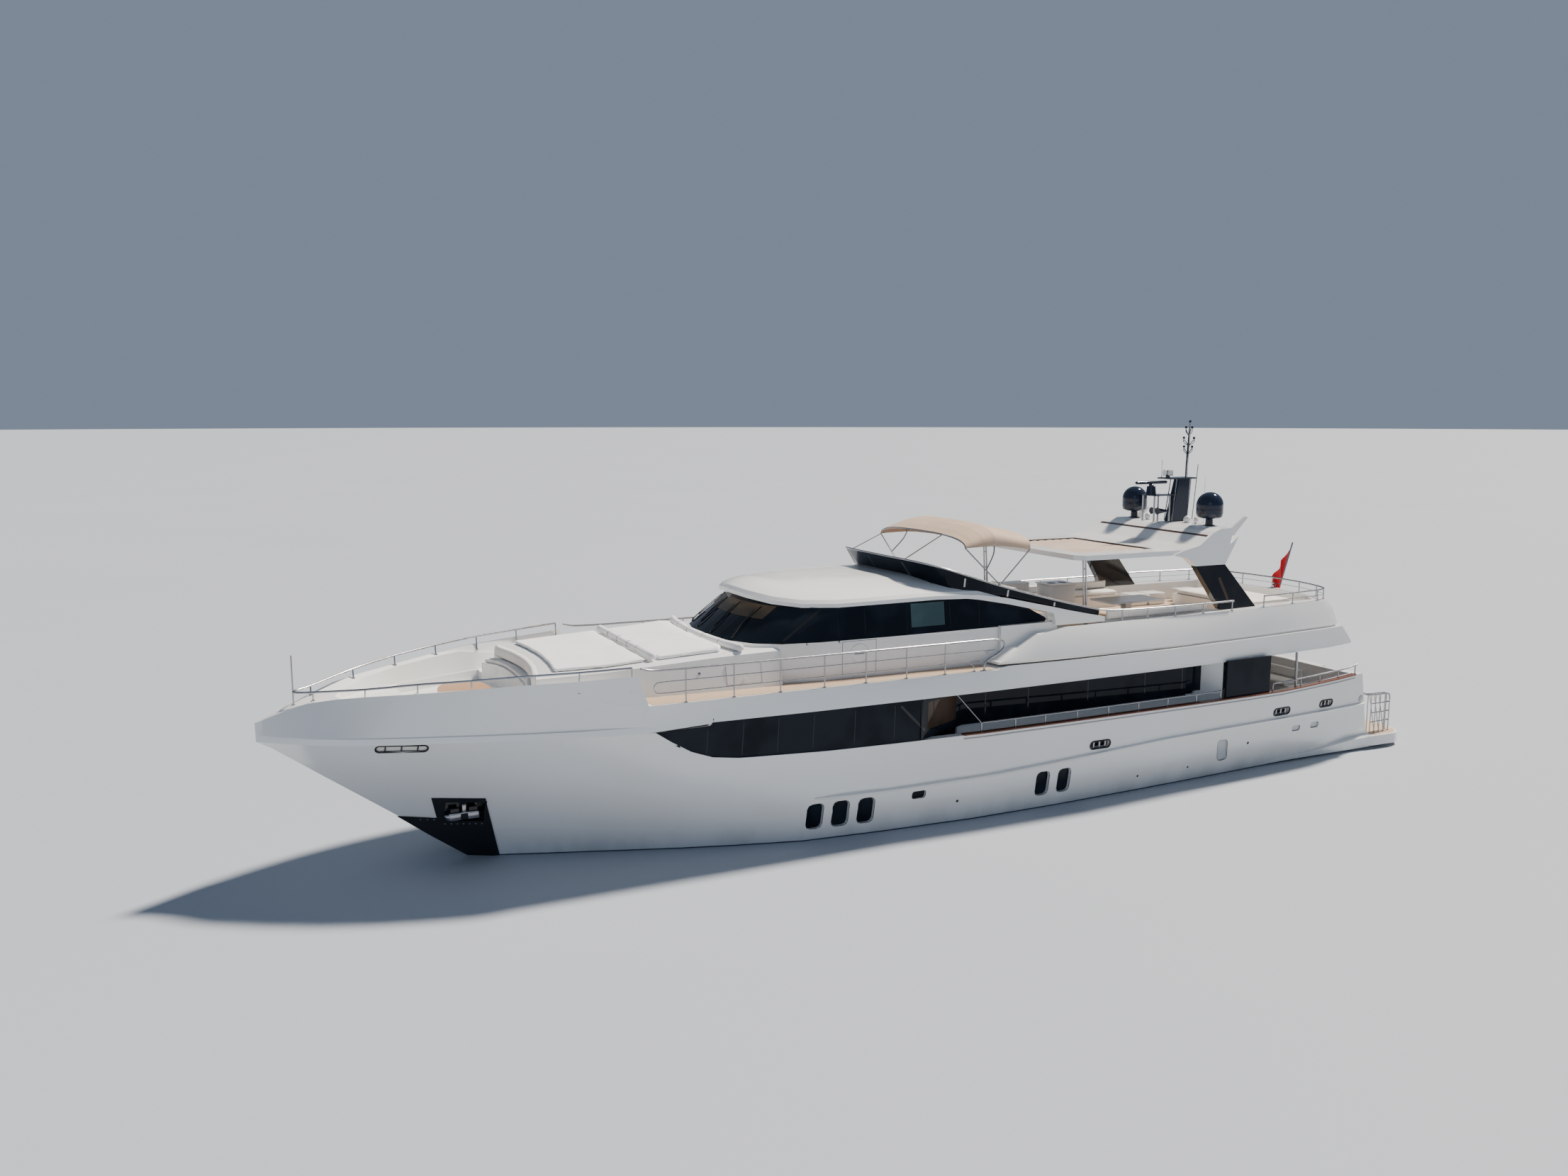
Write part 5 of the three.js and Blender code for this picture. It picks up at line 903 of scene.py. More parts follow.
form = Form()
for y in (0.12, -0.12):
    flare = [(0.03, 0), (0.034, 0.12), (0.045, 0.22), (0.07, 0.29), (0.098, 0.33), (0.1, 0.335), (0.06, 0.325),
             (0.0, 0.2)]
    form.turned(flare, (-8.29, y, 7.15), (1, 0, 0), 24)
for x, y, z in ((-9.15, 0.0, 9.66), (-9.13, 0.2, 9.19), (-9.13, -0.2, 9.19), (-9.11, 0.16, 8.94),
                (-9.11, -0.16, 8.94), (-9.12, 0.12, 9.49), (-9.12, -0.12, 9.49)):
    form.turned([(0.02, 0), (0.034, 0.004), (0.034, 0.05), (0.028, 0.06), (0, 0.062)], (x, y, z), sides=16)
form.done("horns_and_lights", BLACK_GLOSS, "black_gloss")
print("mast fittings done")

# %% [markdown]
# ## Teak decks and cap rails
# Teak is glued on the mouldings with a margin left all round. The level faces of each moulding
# give the deck's true outline, which is drawn in by that margin and raised to a thin board.

# %% Decks
BOARD = 0.008


def level_faces(node, z):
    form = welded(node)
    away = [f for f in form.faces if f.normal.z < 0.99 or abs(f.calc_center_median().z - z) > 0.004]
    bmesh.ops.delete(form, geom=away, context="FACES")
    return form


def board(form, thick):
    slab = bmesh.new()
    low = {v: slab.verts.new(v.co - Vector((0, 0, 0.002))) for v in form.verts}
    high = {v: slab.verts.new(v.co + Vector((0, 0, thick))) for v in form.verts}
    for face in form.faces:
        slab.faces.new([high[v] for v in face.verts])
        slab.faces.new([low[v] for v in reversed(face.verts)])
    for edge in form.edges:
        if len(edge.link_faces) == 1:
            loop = edge.link_loops[0]
            a, b = loop.vert, loop.link_loop_next.vert
            slab.faces.new((low[a], low[b], high[b], high[a]))
    form.free()
    return slab


def deck(name, node, z, margin, keep=None, front=None):
    form = level_faces(node, z)
    if front:
        bmesh.ops.bisect_plane(form, geom=form.verts[:] + form.edges[:] + form.faces[:], plane_co=(front, 0, 0),
                               plane_no=(1, 0, 0), clear_outer=True)
    if keep:
        bmesh.ops.delete(form, geom=[f for f in form.faces if not keep(f.calc_center_median())], context="FACES")
    rim = bmesh.ops.inset_region(form, faces=form.faces, thickness=margin, use_boundary=True,
                                 use_even_offset=False)
    bmesh.ops.delete(form, geom=rim["faces"], context="FACES")
    slab = board(form, BOARD)
    bmesh.ops.recalc_face_normals(slab, faces=slab.faces)
    return piece(name, slab, TEAK_DECK, crease=30)


deck("upper_side_deck_teak", "upper_deck", 3.78, 0.1, front=9.2)
deck("main_deck_teak", "hull", 1.40, 0.05)
deck("platform_teak", "swim_platform", 0.40, 0.09, front=-14.45)
deck("fly_deck_teak", "flybridge", 4.10, 0.04)
deck("fly_helm_deck_teak", "flybridge", 4.90, 0.04)
for step in range(4):
    deck(f"stern_step_teak_{step}", "hull", 0.42 + 0.245 * step, 0.03, lambda p: p.x < -13.2)

# %% Cap rails and rubbing strips
def strip(form, path, half_width, half_height, ease=0.012):
    w, h = half_width, half_height
    outline = [(w - ease, -h), (w, ease - h), (w, h - ease), (w - ease, h), (ease - w, h), (-w, h - ease),
               (-w, ease - h), (ease - w, -h)]
    path = [Vector(point) for point in path]
    rings = []
    for i, point in enumerate(path):
        along = path[min(i + 1, len(path) - 1)] - path[max(i - 1, 0)]
        across = Vector((along.y, -along.x, 0)).normalized()
        rings.append([point + across * u + Vector((0, 0, v)) for u, v in outline])
    form.skin(rings)


for side, sign in SIDES.items():
    form = Form()
    strip(form, [cap_point(x, sign, 0.012, 0.05) for x in np.linspace(0.55, -9.6, 40)], 0.085, 0.02)
    strip(form, [cap_point(x, sign, 0.012, 0.05) for x in np.linspace(-9.62, -13.2, 18)], 0.085, 0.02)
    form.done(f"cap_rail_{side}", TEAK_RAIL, "teak")
    form = Form()
    strip(form, [cap_point(x, sign, -0.09, -0.004) for x in np.linspace(0.55, -13.2, 44)], 0.006, 0.012, 0.004)
    form.done(f"cap_bead_{side}", STEEL, "steel")

# %% [markdown]
# ## Soft goods
# A sunbed is a slab of foam in a sewn cover: it crowns in the middle, pulls in along its seams
# and wrinkles where it is tied. Each starts as a closed block a little under size. Cloth under
# light pressure swells it, how far a point may move is capped, and the seams are pressed in after.
# The rolled covers are drawn directly, with shallow folds and a nip at each tie.

# %% Swelling a block into a cushion
SWELL_FRAMES = 20
SEAM_DEPTH = 0.014


def remeshed(form, voxel):
    mesh = bpy.data.meshes.new("block")
    form.to_mesh(mesh)
    form.free()
    host = bpy.data.objects.new("block", mesh)
    bpy.context.scene.collection.objects.link(host)
    remesh = host.modifiers.new("voxels", "REMESH")
    remesh.mode = "VOXEL"
    remesh.voxel_size = voxel
    view = bpy.context.evaluated_depsgraph_get()
    fine = bpy.data.meshes.new_from_object(host.evaluated_get(view))
    host.modifiers.clear()
    host.data = fine
    return host


def coordinates(mesh):
    points = np.empty(len(mesh.vertices) * 3)
    mesh.vertices.foreach_get("co", points)
    return points.reshape(-1, 3)


def swollen(form, voxel, cap, pressure=4.0):
    host = remeshed(form, voxel)
    rest = coordinates(host.data)
    cloth = host.modifiers.new("swell", "CLOTH")
    cloth.settings.use_pressure = True
    cloth.settings.uniform_pressure_force = pressure
    cloth.settings.effector_weights.gravity = 0
    cloth.settings.quality = 4
    cloth.point_cache.frame_end = SWELL_FRAMES
    for frame_number in range(1, SWELL_FRAMES + 1):
        bpy.context.scene.frame_set(frame_number)
    view = bpy.context.evaluated_depsgraph_get()
    result = bpy.data.meshes.new_from_object(host.evaluated_get(view))
    moved = coordinates(result) - rest
    bpy.context.scene.frame_set(1)
    length = np.linalg.norm(moved, axis=1, keepdims=True)
    moved *= np.minimum(1.0, cap / np.maximum(length, 1e-9))
    mesh = host.data
    host.modifiers.clear()
    mesh.vertices.foreach_set("co", (rest + moved).ravel())
    form = bmesh.new()
    form.from_mesh(mesh)
    bpy.data.objects.remove(host)
    bmesh.ops.subdivide_edges(form, edges=form.edges, cuts=1, use_grid_fill=True, smooth=1.0)
    return form


def edge_distance(points, outline):
    best = np.full(len(points), 1e9)
    for (ax, ay), (bx, by) in zip(outline, outline[1:] + outline[:1]):
        run = np.array([bx - ax, by - ay])
        share = np.clip(((points - (ax, ay)) @ run) / (run @ run), 0, 1)
        best = np.minimum(best, np.linalg.norm(points - ((ax, ay) + share[:, None] * run), axis=1))
    return best


def groove(distance, width):
    return np.exp(-(distance / width) ** 2)


def sewn(form, outline, top, crown, seams, depth=SEAM_DEPTH, width=0.03, wrinkle=None):
    verts = list(form.verts)
    points = np.array([v.co[:] for v in verts])
    inside = edge_distance(points[:, :2], outline)
    upper = np.clip((points[:, 2] - top + 0.06) / 0.05, 0, 1)
    lift = crown * np.clip(inside / 0.35, 0, 1) ** 0.6
    for seam in seams:
        lift = lift - depth * groove(seam(points), width)
    lift = lift - 0.010 * groove(inside - 0.045, 0.016)
    if wrinkle:
        lift = lift + np.array([wrinkle(*point) for point in points])
    for vert, rise, share in zip(verts, lift, upper):
        vert.co.z += float(rise * share)
    return form


def block(outline, bottom, top, ease=0.03):
    form = Form()

    def ring(inset, height):
        centre = np.mean(outline, axis=0)
        spread = np.abs(np.array(outline) - centre).max(axis=0)
        scale = 1 - inset / spread
        return [(centre[0] + (u - centre[0]) * scale[0], centre[1] + (v - centre[1]) * scale[1], height(u, v))
                for u, v in outline]

    form.skin([ring(ease, bottom), ring(0, lambda u, v: bottom(u, v) + ease),
               ring(0, lambda u, v: top(u, v) - ease), ring(ease, top)])
    bmesh.ops.recalc_face_normals(form.mesh, faces=form.mesh.faces)
    return form.mesh


def cushion(name, outline, bottom, top, seams=(), crown=0.02, voxel=0.03, cap=0.012, stands_for=(),
            paint=CUSHION_CLOTH, depth=SEAM_DEPTH, width=0.03, wrinkle=None, ease=0.03):
    low = bottom if callable(bottom) else lambda u, v: bottom
    high = top if callable(top) else lambda u, v: top - cap
    form = swollen(block(outline, low, high, ease), voxel, cap)
    level = max(v.co.z for v in form.verts)
    sewn(form, outline, level, crown, seams, depth, width, wrinkle)
    thing = piece(name, form, paint, crease=180, stands_for=stands_for)
    return thing


def across_at(x):
    return lambda points: np.abs(points[:, 0] - x)


def along_at(y):
    return lambda points: np.abs(points[:, 1] - y)


# %% Sunbeds on the foredeck
TRUNK_TOP = [(5.0, 4.62), (6.5, 4.58), (7.95, 4.50), (9.0, 4.45), (10.65, 4.41)]
SEAT_HALF = 1.85
HALF_LINES = 9


def trunk_top(x):
    return float(np.interp(x, [row[0] for row in TRUNK_TOP], [row[1] for row in TRUNK_TOP]))


def hollow_line(x, reach, half, power=2.0, steps=HALF_LINES):
    return [(x + reach * abs(y / SEAT_HALF) ** power, y) for y in np.linspace(half, -half, steps)]


def drape_ridges(x0, reach, height, pitch):
    def wrinkle(x, y, z):
        near = math.exp(-abs(x - x0) / reach)
        warp = noise.noise(Vector((x * 0.6, y * 0.7, 3.1))) * 1.3
        return height * near * max(0.0, math.sin((y + warp) * pitch)) ** 2
    return wrinkle


front_pad = [(8.1, 1.93), (9.0, 1.97)] + hollow_line(9.98, 0.15, 1.83, 2, 15) + [(9.0, -1.97), (8.1, -1.93)]
cushion("sunbed_forward", front_pad, lambda u, v: trunk_top(u) + 0.004, lambda u, v: trunk_top(u) + 0.085,
        [along_at(0.0)], 0.03, 0.045, 0.02, ("sunpad",), COVER_CLOTH, 0.006, 0.05,
        drape_ridges(8.1, 0.5, 0.014, 5.0))
aft_pad = [(7.82, 1.95), (7.82, -1.95), (6.35, -2.03), (6.2, -1.7), (6.27, 0.0), (6.2, 1.7), (6.35, 2.03)][::-1]
cushion("sunbed_aft", aft_pad, lambda u, v: trunk_top(u) + 0.004, lambda u, v: trunk_top(u) + 0.1,
        [], 0.035, 0.045, 0.02, (), COVER_CLOTH, 0.006, 0.05, drape_ridges(6.2, 0.8, 0.022, 4.0))
print("sunbeds done")


# %% Rolled covers
def cover_roll(name, node, x, half, z, bend, ties):
    form = Form()
    steps, sides = 90, 28
    rings = []
    for y in np.linspace(-half, half, steps):
        share = y / half
        end = max(0.0, abs(share) - 0.985) / 0.015
        ring = []
        for k in range(sides):
            a = 2 * math.pi * k / sides
            fold = 0.05 * noise.noise(Vector((y * 2.1, a * 0.9, x))) + 0.03 * math.sin(3 * a + y * 1.7)
            tie = sum(0.10 * math.exp(-((y - place) / 0.035) ** 2) for place in ties)
            r = 0.085 * (1 + fold - tie) * (1 - 0.35 * end)
            ring.append((x - bend * share * share + r * math.cos(a), y, z + r * math.sin(a)))
        rings.append(ring)
    form.skin(rings)
    thing = form.done(name, COVER_CLOTH, "cover", crease=70, stands_for=(node,))
    form = Form()
    for place in ties:
        centre = (x - bend * (place / half) ** 2, place, z)
        loop = [(centre[0] + 0.079 * math.cos(a), place, z + 0.079 * math.sin(a))
                for a in np.linspace(0, 2 * math.pi, 25)[:-1]]
        form.tube(loop, 0.007, 6, closed=True)
    return form.done(name + "_ties", RUBBER, "cover")


cover_roll("cover_roll_front", "cover_roll_forward", 7.95, 2.02, 4.617, 0.0, (-1.1, -0.4, 0.35, 1.0))
cover_roll("cover_roll_rear", "cover_roll_aft", 6.16, 2.24, 4.682, 0.23, (-1.3, -0.45, 0.5, 1.35))

# %% Bow seat
BACKREST_X = 10.25
SEAT_FRONT_X = 10.57
SEAT_Z = 4.04


def back_cushion(name, form, voxel, cap, press=None):
    bmesh.ops.recalc_face_normals(form.mesh, faces=form.mesh.faces)
    back = swollen(form.mesh, voxel, cap)
    if press:
        for vert in back.verts:
            press(vert.co)
    thing = piece(name, back, CUSHION_CLOTH, crease=180)


def seat_outline(margin, back):
    half = SEAT_HALF - margin
    front = hollow_line(SEAT_FRONT_X - margin, 0.35, half, 4, 17)
    rear = hollow_line(back, 0.255, half, 2, 13)[::-1]
    return front + rear


cushion("bow_seat_cushion", seat_outline(0.035, BACKREST_X + 0.02), SEAT_Z + 0.004, SEAT_Z + 0.1,
        [along_at(0.62), along_at(-0.62)], 0.015, 0.022, 0.01, ("bow_cushion",), width=0.018)
form = Form()
back_rings = []
for y in np.linspace(-1.9, 1.9, 41):
    x = BACKREST_X + 0.255 * (abs(y) / SEAT_HALF) ** 2
    ends = 1 - 0.5 * max(0.0, abs(y) - 1.84) / 0.06
    profile = [(0.012, 4.155), (0.10, 4.16), (0.125, 4.2), (0.115, 4.33), (0.085, 4.415), (0.02, 4.43),
               (-0.03, 4.42), (0.008, 4.39)]
    back_rings.append([(x + u * ends, y, z) for u, z in profile])
form.skin(back_rings)


def press_bow_seat(point):
    point.x -= SEAM_DEPTH * float(sum(groove(abs(point.y - y), 0.016) for y in (-0.62, 0.62)))


back_cushion("bow_seat_back", form, 0.02, 0.01, press_bow_seat)
form = Form()
for z in (3.86, 3.92, 3.98):
    line = [(x + 0.001, y, z) for x, y in hollow_line(SEAT_FRONT_X, 0.35, SEAT_HALF, 4, 25)]
    form.tube(line, 0.007, 6)
form.done("bow_seat_beads", WHITE_PAINT, "superstructure")
print("bow seat done")

# %% Cushions of the flybridge and the cockpit
FLY_SEAT_Z = 4.48


def bench_pads(name, x, y, z, thick, count, stands_for=()):
    outline = [(x[0], y[0]), (x[1], y[0]), (x[1], y[1]), (x[0], y[1])]
    seams = [across_at(place) for place in np.linspace(x[0], x[1], count + 1)[1:-1]]
    return cushion(name, outline, z + 0.003, z + thick, seams, 0.02, 0.025, 0.012, stands_for)


def back_pads(name, x, y, z, count):
    form = Form()
    form.box((x[0] + 0.01, x[1] - 0.01), (y[0] + 0.01, y[1] - 0.01), (z[0], z[1] - 0.01), 0.03)
    places = np.linspace(x[0], x[1], count + 1)[1:-1]

    def press(point):
        pinch = float(sum(groove(abs(point.x - place), 0.02) for place in places))
        point.y += SEAM_DEPTH * pinch * (1 if point.y < (y[0] + y[1]) / 2 else -1)

    back_cushion(name, form, 0.025, 0.012, press)


bench_pads("fly_seat_port", (-7.84, -4.36), (1.865, 2.345), FLY_SEAT_Z, 0.118, 5, ("fly_cushion_port",))
bench_pads("fly_seat_starboard", (-8.24, -5.26), (-2.295, -1.765), FLY_SEAT_Z, 0.118, 4,
           ("fly_cushion_starboard",))
back_pads("fly_back_port", (-7.84, -4.36), (2.27, 2.375), (4.6, 4.86), 5)
back_pads("fly_back_starboard", (-8.24, -5.26), (-2.38, -2.27), (4.6, 4.86), 4)
bench_pads("fly_sunbed", (-11.94, -10.26), (-1.445, 1.445), 4.42, 0.138, 2, ("fly_sunpad",))
bench_pads("helm_bench_pad", (-2.43, -1.92), (-1.38, 0.88), 5.23, 0.09, 2)
cockpit = [(-12.98, -1.08), (-12.32, -1.08), (-12.32, 1.08), (-12.98, 1.08)]
cushion("cockpit_seat", cockpit, 1.783, 1.928, [along_at(-0.36), along_at(0.36)], 0.02, 0.025, 0.012,
        ("cockpit_cushion",))
form = Form()
form.box((-13.09, -12.98), (-1.08, 1.08), (1.93, 2.24), 0.03)
back_cushion("cockpit_back", form, 0.025, 0.012)
print("cushions:", [name for name in made if "seat" in name or "back" in name])

# %% [markdown]
# ## Awning, roof cloth and flag
# The awning is one sheet of canvas pulled over three hoops: its sides turn down, it dips a little
# before the aft hoop and it has sewn hems. It could be simulated, but tight canvas is drawn more
# exactly as one curved sheet through the hoops. The roof cloth lies in nine shallow pleats.
# The flag falls from its staff. Its rows get shorter towards the foot, so it holds less than half
# of the rectangle that a real flag is cut from, and the area printed for it is only that of the
# drawn surface.

# %% Closed sheets
def sheet_form(rows, thick):
    rows = [[Vector(point) for point in row] for row in rows]
    count, width = len(rows), len(rows[0])
    form = bmesh.new()
    lines = []
    for i, row in enumerate(rows):
        normals = []
        for j in range(width):
            along = rows[min(i + 1, count - 1)][j] - rows[max(i - 1, 0)][j]
            across = row[min(j + 1, width - 1)] - row[max(j - 1, 0)]
            normals.append(along.cross(across).normalized())
        gap = [thick(i / (count - 1), j / (width - 1)) / 2 for j in range(width)]
        lines.append(([form.verts.new(p + n * g) for p, n, g in zip(row, normals, gap)],
                      [form.verts.new(p - n * g) for p, n, g in zip(row, normals, gap)]))
    for (top_a, low_a), (top_b, low_b) in zip(lines, lines[1:]):
        for j in range(width - 1):
            form.faces.new((top_a[j], top_a[j + 1], top_b[j + 1], top_b[j]))
            form.faces.new((low_a[j], low_b[j], low_b[j + 1], low_a[j + 1]))
        for j in (0, width - 1):
            form.faces.new((top_a[j], top_b[j], low_b[j], low_a[j]))
    for top, low in (lines[0], lines[-1]):
        for j in range(width - 1):
            form.faces.new((top[j], low[j], low[j + 1], top[j + 1]))
    bmesh.ops.recalc_face_normals(form, faces=form.faces)
    return form


def flat_size(rows):
    rows = [[Vector(point) for point in row] for row in rows]
    across = [sum((b - a).length for a, b in zip(row, row[1:])) for row in rows]
    columns = list(zip(*rows))
    along = [sum((b - a).length for a, b in zip(line, line[1:])) for line in columns]
    area = 0.0
    for low, high in zip(rows, rows[1:]):
        for j in range(len(low) - 1):
            area += ((low[j + 1] - low[j]).cross(high[j] - low[j])).length / 2
            area += ((high[j + 1] - high[j]).cross(high[j + 1] - low[j + 1])).length / 2
    return max(across), max(along), area


# %% [markdown]
# ## Ribbons and panels
# Trim on curved glass or plating is a thin ribbon or panel. Its points come from rays shot at the
# surface, so it follows the surface instead of cutting into it.

# %% Ribbons and panels on a surface
AHEAD = 12.0      # x in front of the deck houses


def from_ahead(node, y, z):
    return hit(node, (AHEAD, y, z), (-1, 0, 0))


def ribbon(form, path, half_width, low=-0.004, high=0.004):
    rings = []
    for i, (point, normal) in enumerate(path):
        along = path[min(i + 1, len(path) - 1)][0] - path[max(i - 1, 0)][0]
        across = along.cross(normal).normalized() * half_width
        rings.append([point - across + normal * low, point + across + normal * low,
                      point + across + normal * high, point - across + normal * high])
    form.skin(rings)


def panel(form, grid, low, high):
    rows, columns = len(grid), len(grid[0])
    base, top = [[[form.mesh.verts.new(p + n * h) for p, n in row] for row in grid] for h in (low, high)]
    for i in range(rows - 1):
        for j in range(columns - 1):
            form.mesh.faces.new((top[i][j], top[i][j + 1], top[i + 1][j + 1], top[i + 1][j]))
            form.mesh.faces.new((base[i][j], base[i + 1][j], base[i + 1][j + 1], base[i][j + 1]))
    edge = [(0, j) for j in range(columns)] + [(i, columns - 1) for i in range(1, rows)]
    edge += [(rows - 1, j) for j in range(columns - 2, -1, -1)] + [(i, 0) for i in range(rows - 2, 0, -1)]
    for (i, j), (k, m) in zip(edge, edge[1:] + edge[:1]):
        form.mesh.faces.new((base[i][j], base[k][m], top[k][m], top[i][j]))


def met(hits):
    return [(point, normal) for point, normal in hits if point]


def side_line(node, start, end, side, steps=8):
    stations = zip(np.linspace(start[0], end[0], steps), np.linspace(start[1], end[1], steps))
    return met([from_side(node, x, z, side) for x, z in stations])


def front_line(node, y, low, high, steps=8):
    return met([from_ahead(node, y, z) for z in np.linspace(low, high, steps)])


def side_grid(node, xs, zs, side):
    return [[from_side(node, x, z, side) for x in xs] for z in zs]


# %% Awning
def awning_row(x):
    return [x] + [float(np.interp(-x, [-row[0] for row in BIMINI], [row[k] for row in BIMINI]))
                  for k in (1, 2, 3, 4)]


awning_rows = []
for x in np.linspace(BIMINI[0][0], BIMINI[-1][0], 61):
    row = awning_row(x)
    line = []
    for u in shares(61):
        px, py, pz = awning_point(row, u, 0.008)
        sag = 0.012 * noise.noise(Vector((px * 1.4, py * 1.2, 0.7)))
        fold = 0.006 * math.sin(px * 42 + py * 2) * max(0, abs(u) - 0.8) / 0.2
        line.append((px, py, pz + (sag + fold) * (1 - abs(u) ** 6)))
    awning_rows.append(line)


def hemmed(rows_at, along_edges=0.02, thin=0.004, thick=0.009):
    def width(i, j):
        near_end = min(i, 1 - i) < along_edges or min(j, 1 - j) < along_edges
        near_seam = any(abs(i - place) < 0.009 for place in rows_at)
        return thick if near_end or near_seam else thin
    return width


seams = [(BIMINI[0][0] - BIMINI[row][0]) / (BIMINI[0][0] - BIMINI[-1][0]) for row in HOOP_ROWS[1:2]]
awning = piece("awning_canvas_sheet", sheet_form(awning_rows, hemmed(seams)), CANVAS, crease=60,
               stands_for=("bimini_canopy",))
width, length, area = flat_size(awning_rows)
print("awning, flat:", round(width, 2), "x", round(length, 2), "m")

# %% Roof cloth that slides in pleats
SUNROOF_X = (-6.44, -4.01)
SUNROOF_HALF = 1.64
SUNROOF_Z = from_above("hardtop", -5.2, 0)[0].z + 0.012
roof_rows = []
for x in np.linspace(*SUNROOF_X, 121):
    share = (x - SUNROOF_X[0]) / (SUNROOF_X[1] - SUNROOF_X[0])
    pleat = abs(math.sin(share * math.pi * 9)) ** 0.7
    roof_rows.append([(x, y, SUNROOF_Z + 0.014 * pleat - 0.006 * math.cos(y * 1.9) * pleat)
                      for y in np.linspace(-SUNROOF_HALF, SUNROOF_HALF, 23)])
roof = piece("sliding_roof_cloth", sheet_form(roof_rows, lambda i, j: 0.004), ROOF_CLOTH, crease=50,
             stands_for=("sunroof",))
width, length, area = flat_size(roof_rows)

# %% Frame of the roof cloth and the slots of the arch
dark = Form()
for x0, x1, y0, y1 in ((-6.447, -6.4, -1.648, 1.648), (-4.05, -4.003, -1.648, 1.648), (-6.4, -4.05, -1.648, -1.6),
                       (-6.4, -4.05, 1.6, 1.648)):
    dark.box((x0, x1), (y0, y1), (6.175, 6.294), 0.006)
slot = [from_above("hardtop", -7.78 + 0.01 * y, y) for y in np.linspace(-2.1, 2.3, 24)]
ribbon(dark, slot, 0.035, -0.004, 0.004)
for side, sign in SIDES.items():
    ribbon(dark, side_line(f"pillar_{side}", (-8.12, 5.5), (-8.42, 4.86), sign), 0.045, -0.004, 0.004)
dark.done("roof_frame_and_slots", BROWN_TRIM, "dark_glass")

# %% Ensign in folds on its staff
FLAG_TOP = 1.42
FLAG_HEIGHT = 0.98
TOP_FLY, LOW_FLY = (0.70, 0.90), (0.22, 0.50)  # reach and droop of the free edge
flag_rows = []
for t in np.linspace(0, 1, 41):
    line = []
    for s in np.linspace(0, 1, 49):
        staff_point = STAFF_FOOT + STAFF_RAKE * (FLAG_TOP - FLAG_HEIGHT * t + 0.13)
        wave = math.sin(s * 13 + t * 1.6) * 0.09 * (1 + 0.6 * t) * s ** 0.7
        wave += math.sin(s * 31 + t * 3) * 0.012 * s
        reach = s ** 0.85 * float(np.interp(t, (0, 1), (TOP_FLY[0], LOW_FLY[0])))
        droop = s ** 1.1 * float(np.interp(t, (0, 1), (TOP_FLY[1], LOW_FLY[1])))
        line.append(staff_point + Vector((reach + 0.02, wave, -droop + 0.02 * math.sin(s * 13 + 1) * s)))
    flag_rows.append(line)
flag = piece("red_ensign", sheet_form(flag_rows, lambda i, j: 0.003), FLAG_CLOTH, crease=80,
             stands_for=("ensign",))
width, length, area = flat_size(flag_rows)
print("flag, flat:", round(width, 2), "x", round(length, 2), "m, area", round(area, 2))

# %% [markdown]
# ## Windows and openings of the hull
# Each hull window is a recess with tinted glass at its back. A black plate, painted shade, closes each
# mooring hole for its dark inside, with three upright rollers and one that lies along the foot, and
# the oval near the bow has a pale lining. Each takes its slope from four rays shot at the hull round it.

# %% Hull windows
# Columns: x, z, length, height, lean and depth of the recess.
SIDE_PORTS = [(x, 0.63, 0.42, 0.66, 0.02, 0.11) for x in (4.28, 3.63, 2.98)]
SIDE_PORTS += [(x, 0.68, 0.40, 0.64, 0.02, 0.11) for x in (-2.0, -2.67)]
SIDE_PORTS.append((1.605, 0.865, 0.36, 0.18, 0.0, 0.08))
HAWSES = [(-3.68, 1.53, 0.62, 0.18), (-10.2, 1.67, 0.62, 0.18), (-12.07, 1.685, 0.52, 0.18)]


def port_outline(x, z, length, height, lean, corner=0.3, grow_by=0.0, steps=5):
    radius = corner * min(length, height)
    points = []
    for u, v, start in ((1, 1, 0), (-1, 1, 1), (-1, -1, 2), (1, -1, 3)):
        for k in range(steps):
            a = math.pi / 2 * (start + k / (steps - 1))
            px = u * (length / 2 - radius) + (radius + grow_by) * math.cos(a)
            pz = v * (height / 2 - radius) + (radius + grow_by) * math.sin(a)
            points.append((x + px + lean * pz / height, z + pz))
    return points


def hull_plane(x, z, length, height, side):
    marks = [from_side("hull", x + u * (length / 2 + 0.06), z + v * (height / 2 + 0.03), side)[0]
             for u in (-1, 1) for v in (-1, 1)]
    table = np.array([(p.x, p.z, 1) for p in marks])
    a, b, c = np.linalg.lstsq(table, np.array([p.y for p in marks]), rcond=None)[0]
    return lambda u, v, depth=0.0: (u, float(a * u + b * v + c) - side * depth, v)


def plate(form, outline, at, inner, outer):
    form.skin([[at(u, v, inner) for u, v in outline], [at(u, v, outer) for u, v in outline]])


def rim(form, outline, at, depth, radius):
    form.tube([at(u, v, depth) for u, v in outline], radius, 8, closed=True)


for side, sign in SIDES.items():
    glass, rims = Form(), Form()
    for x, z, length, height, lean, depth in SIDE_PORTS:
        at = hull_plane(x, z, length, height, sign)
        plate(glass, port_outline(x, z, length - 0.01, height - 0.01, lean), at, depth - 0.012, depth - 0.03)
        rim(rims, port_outline(x, z, length, height, lean, 0.3, 0.003), at, 0.002, 0.007)
    glass.done(f"hull_windows_{side}", GLASS, "dark_glass")
    rims.done(f"hull_window_rims_{side}", RUBBER, "black_gloss")

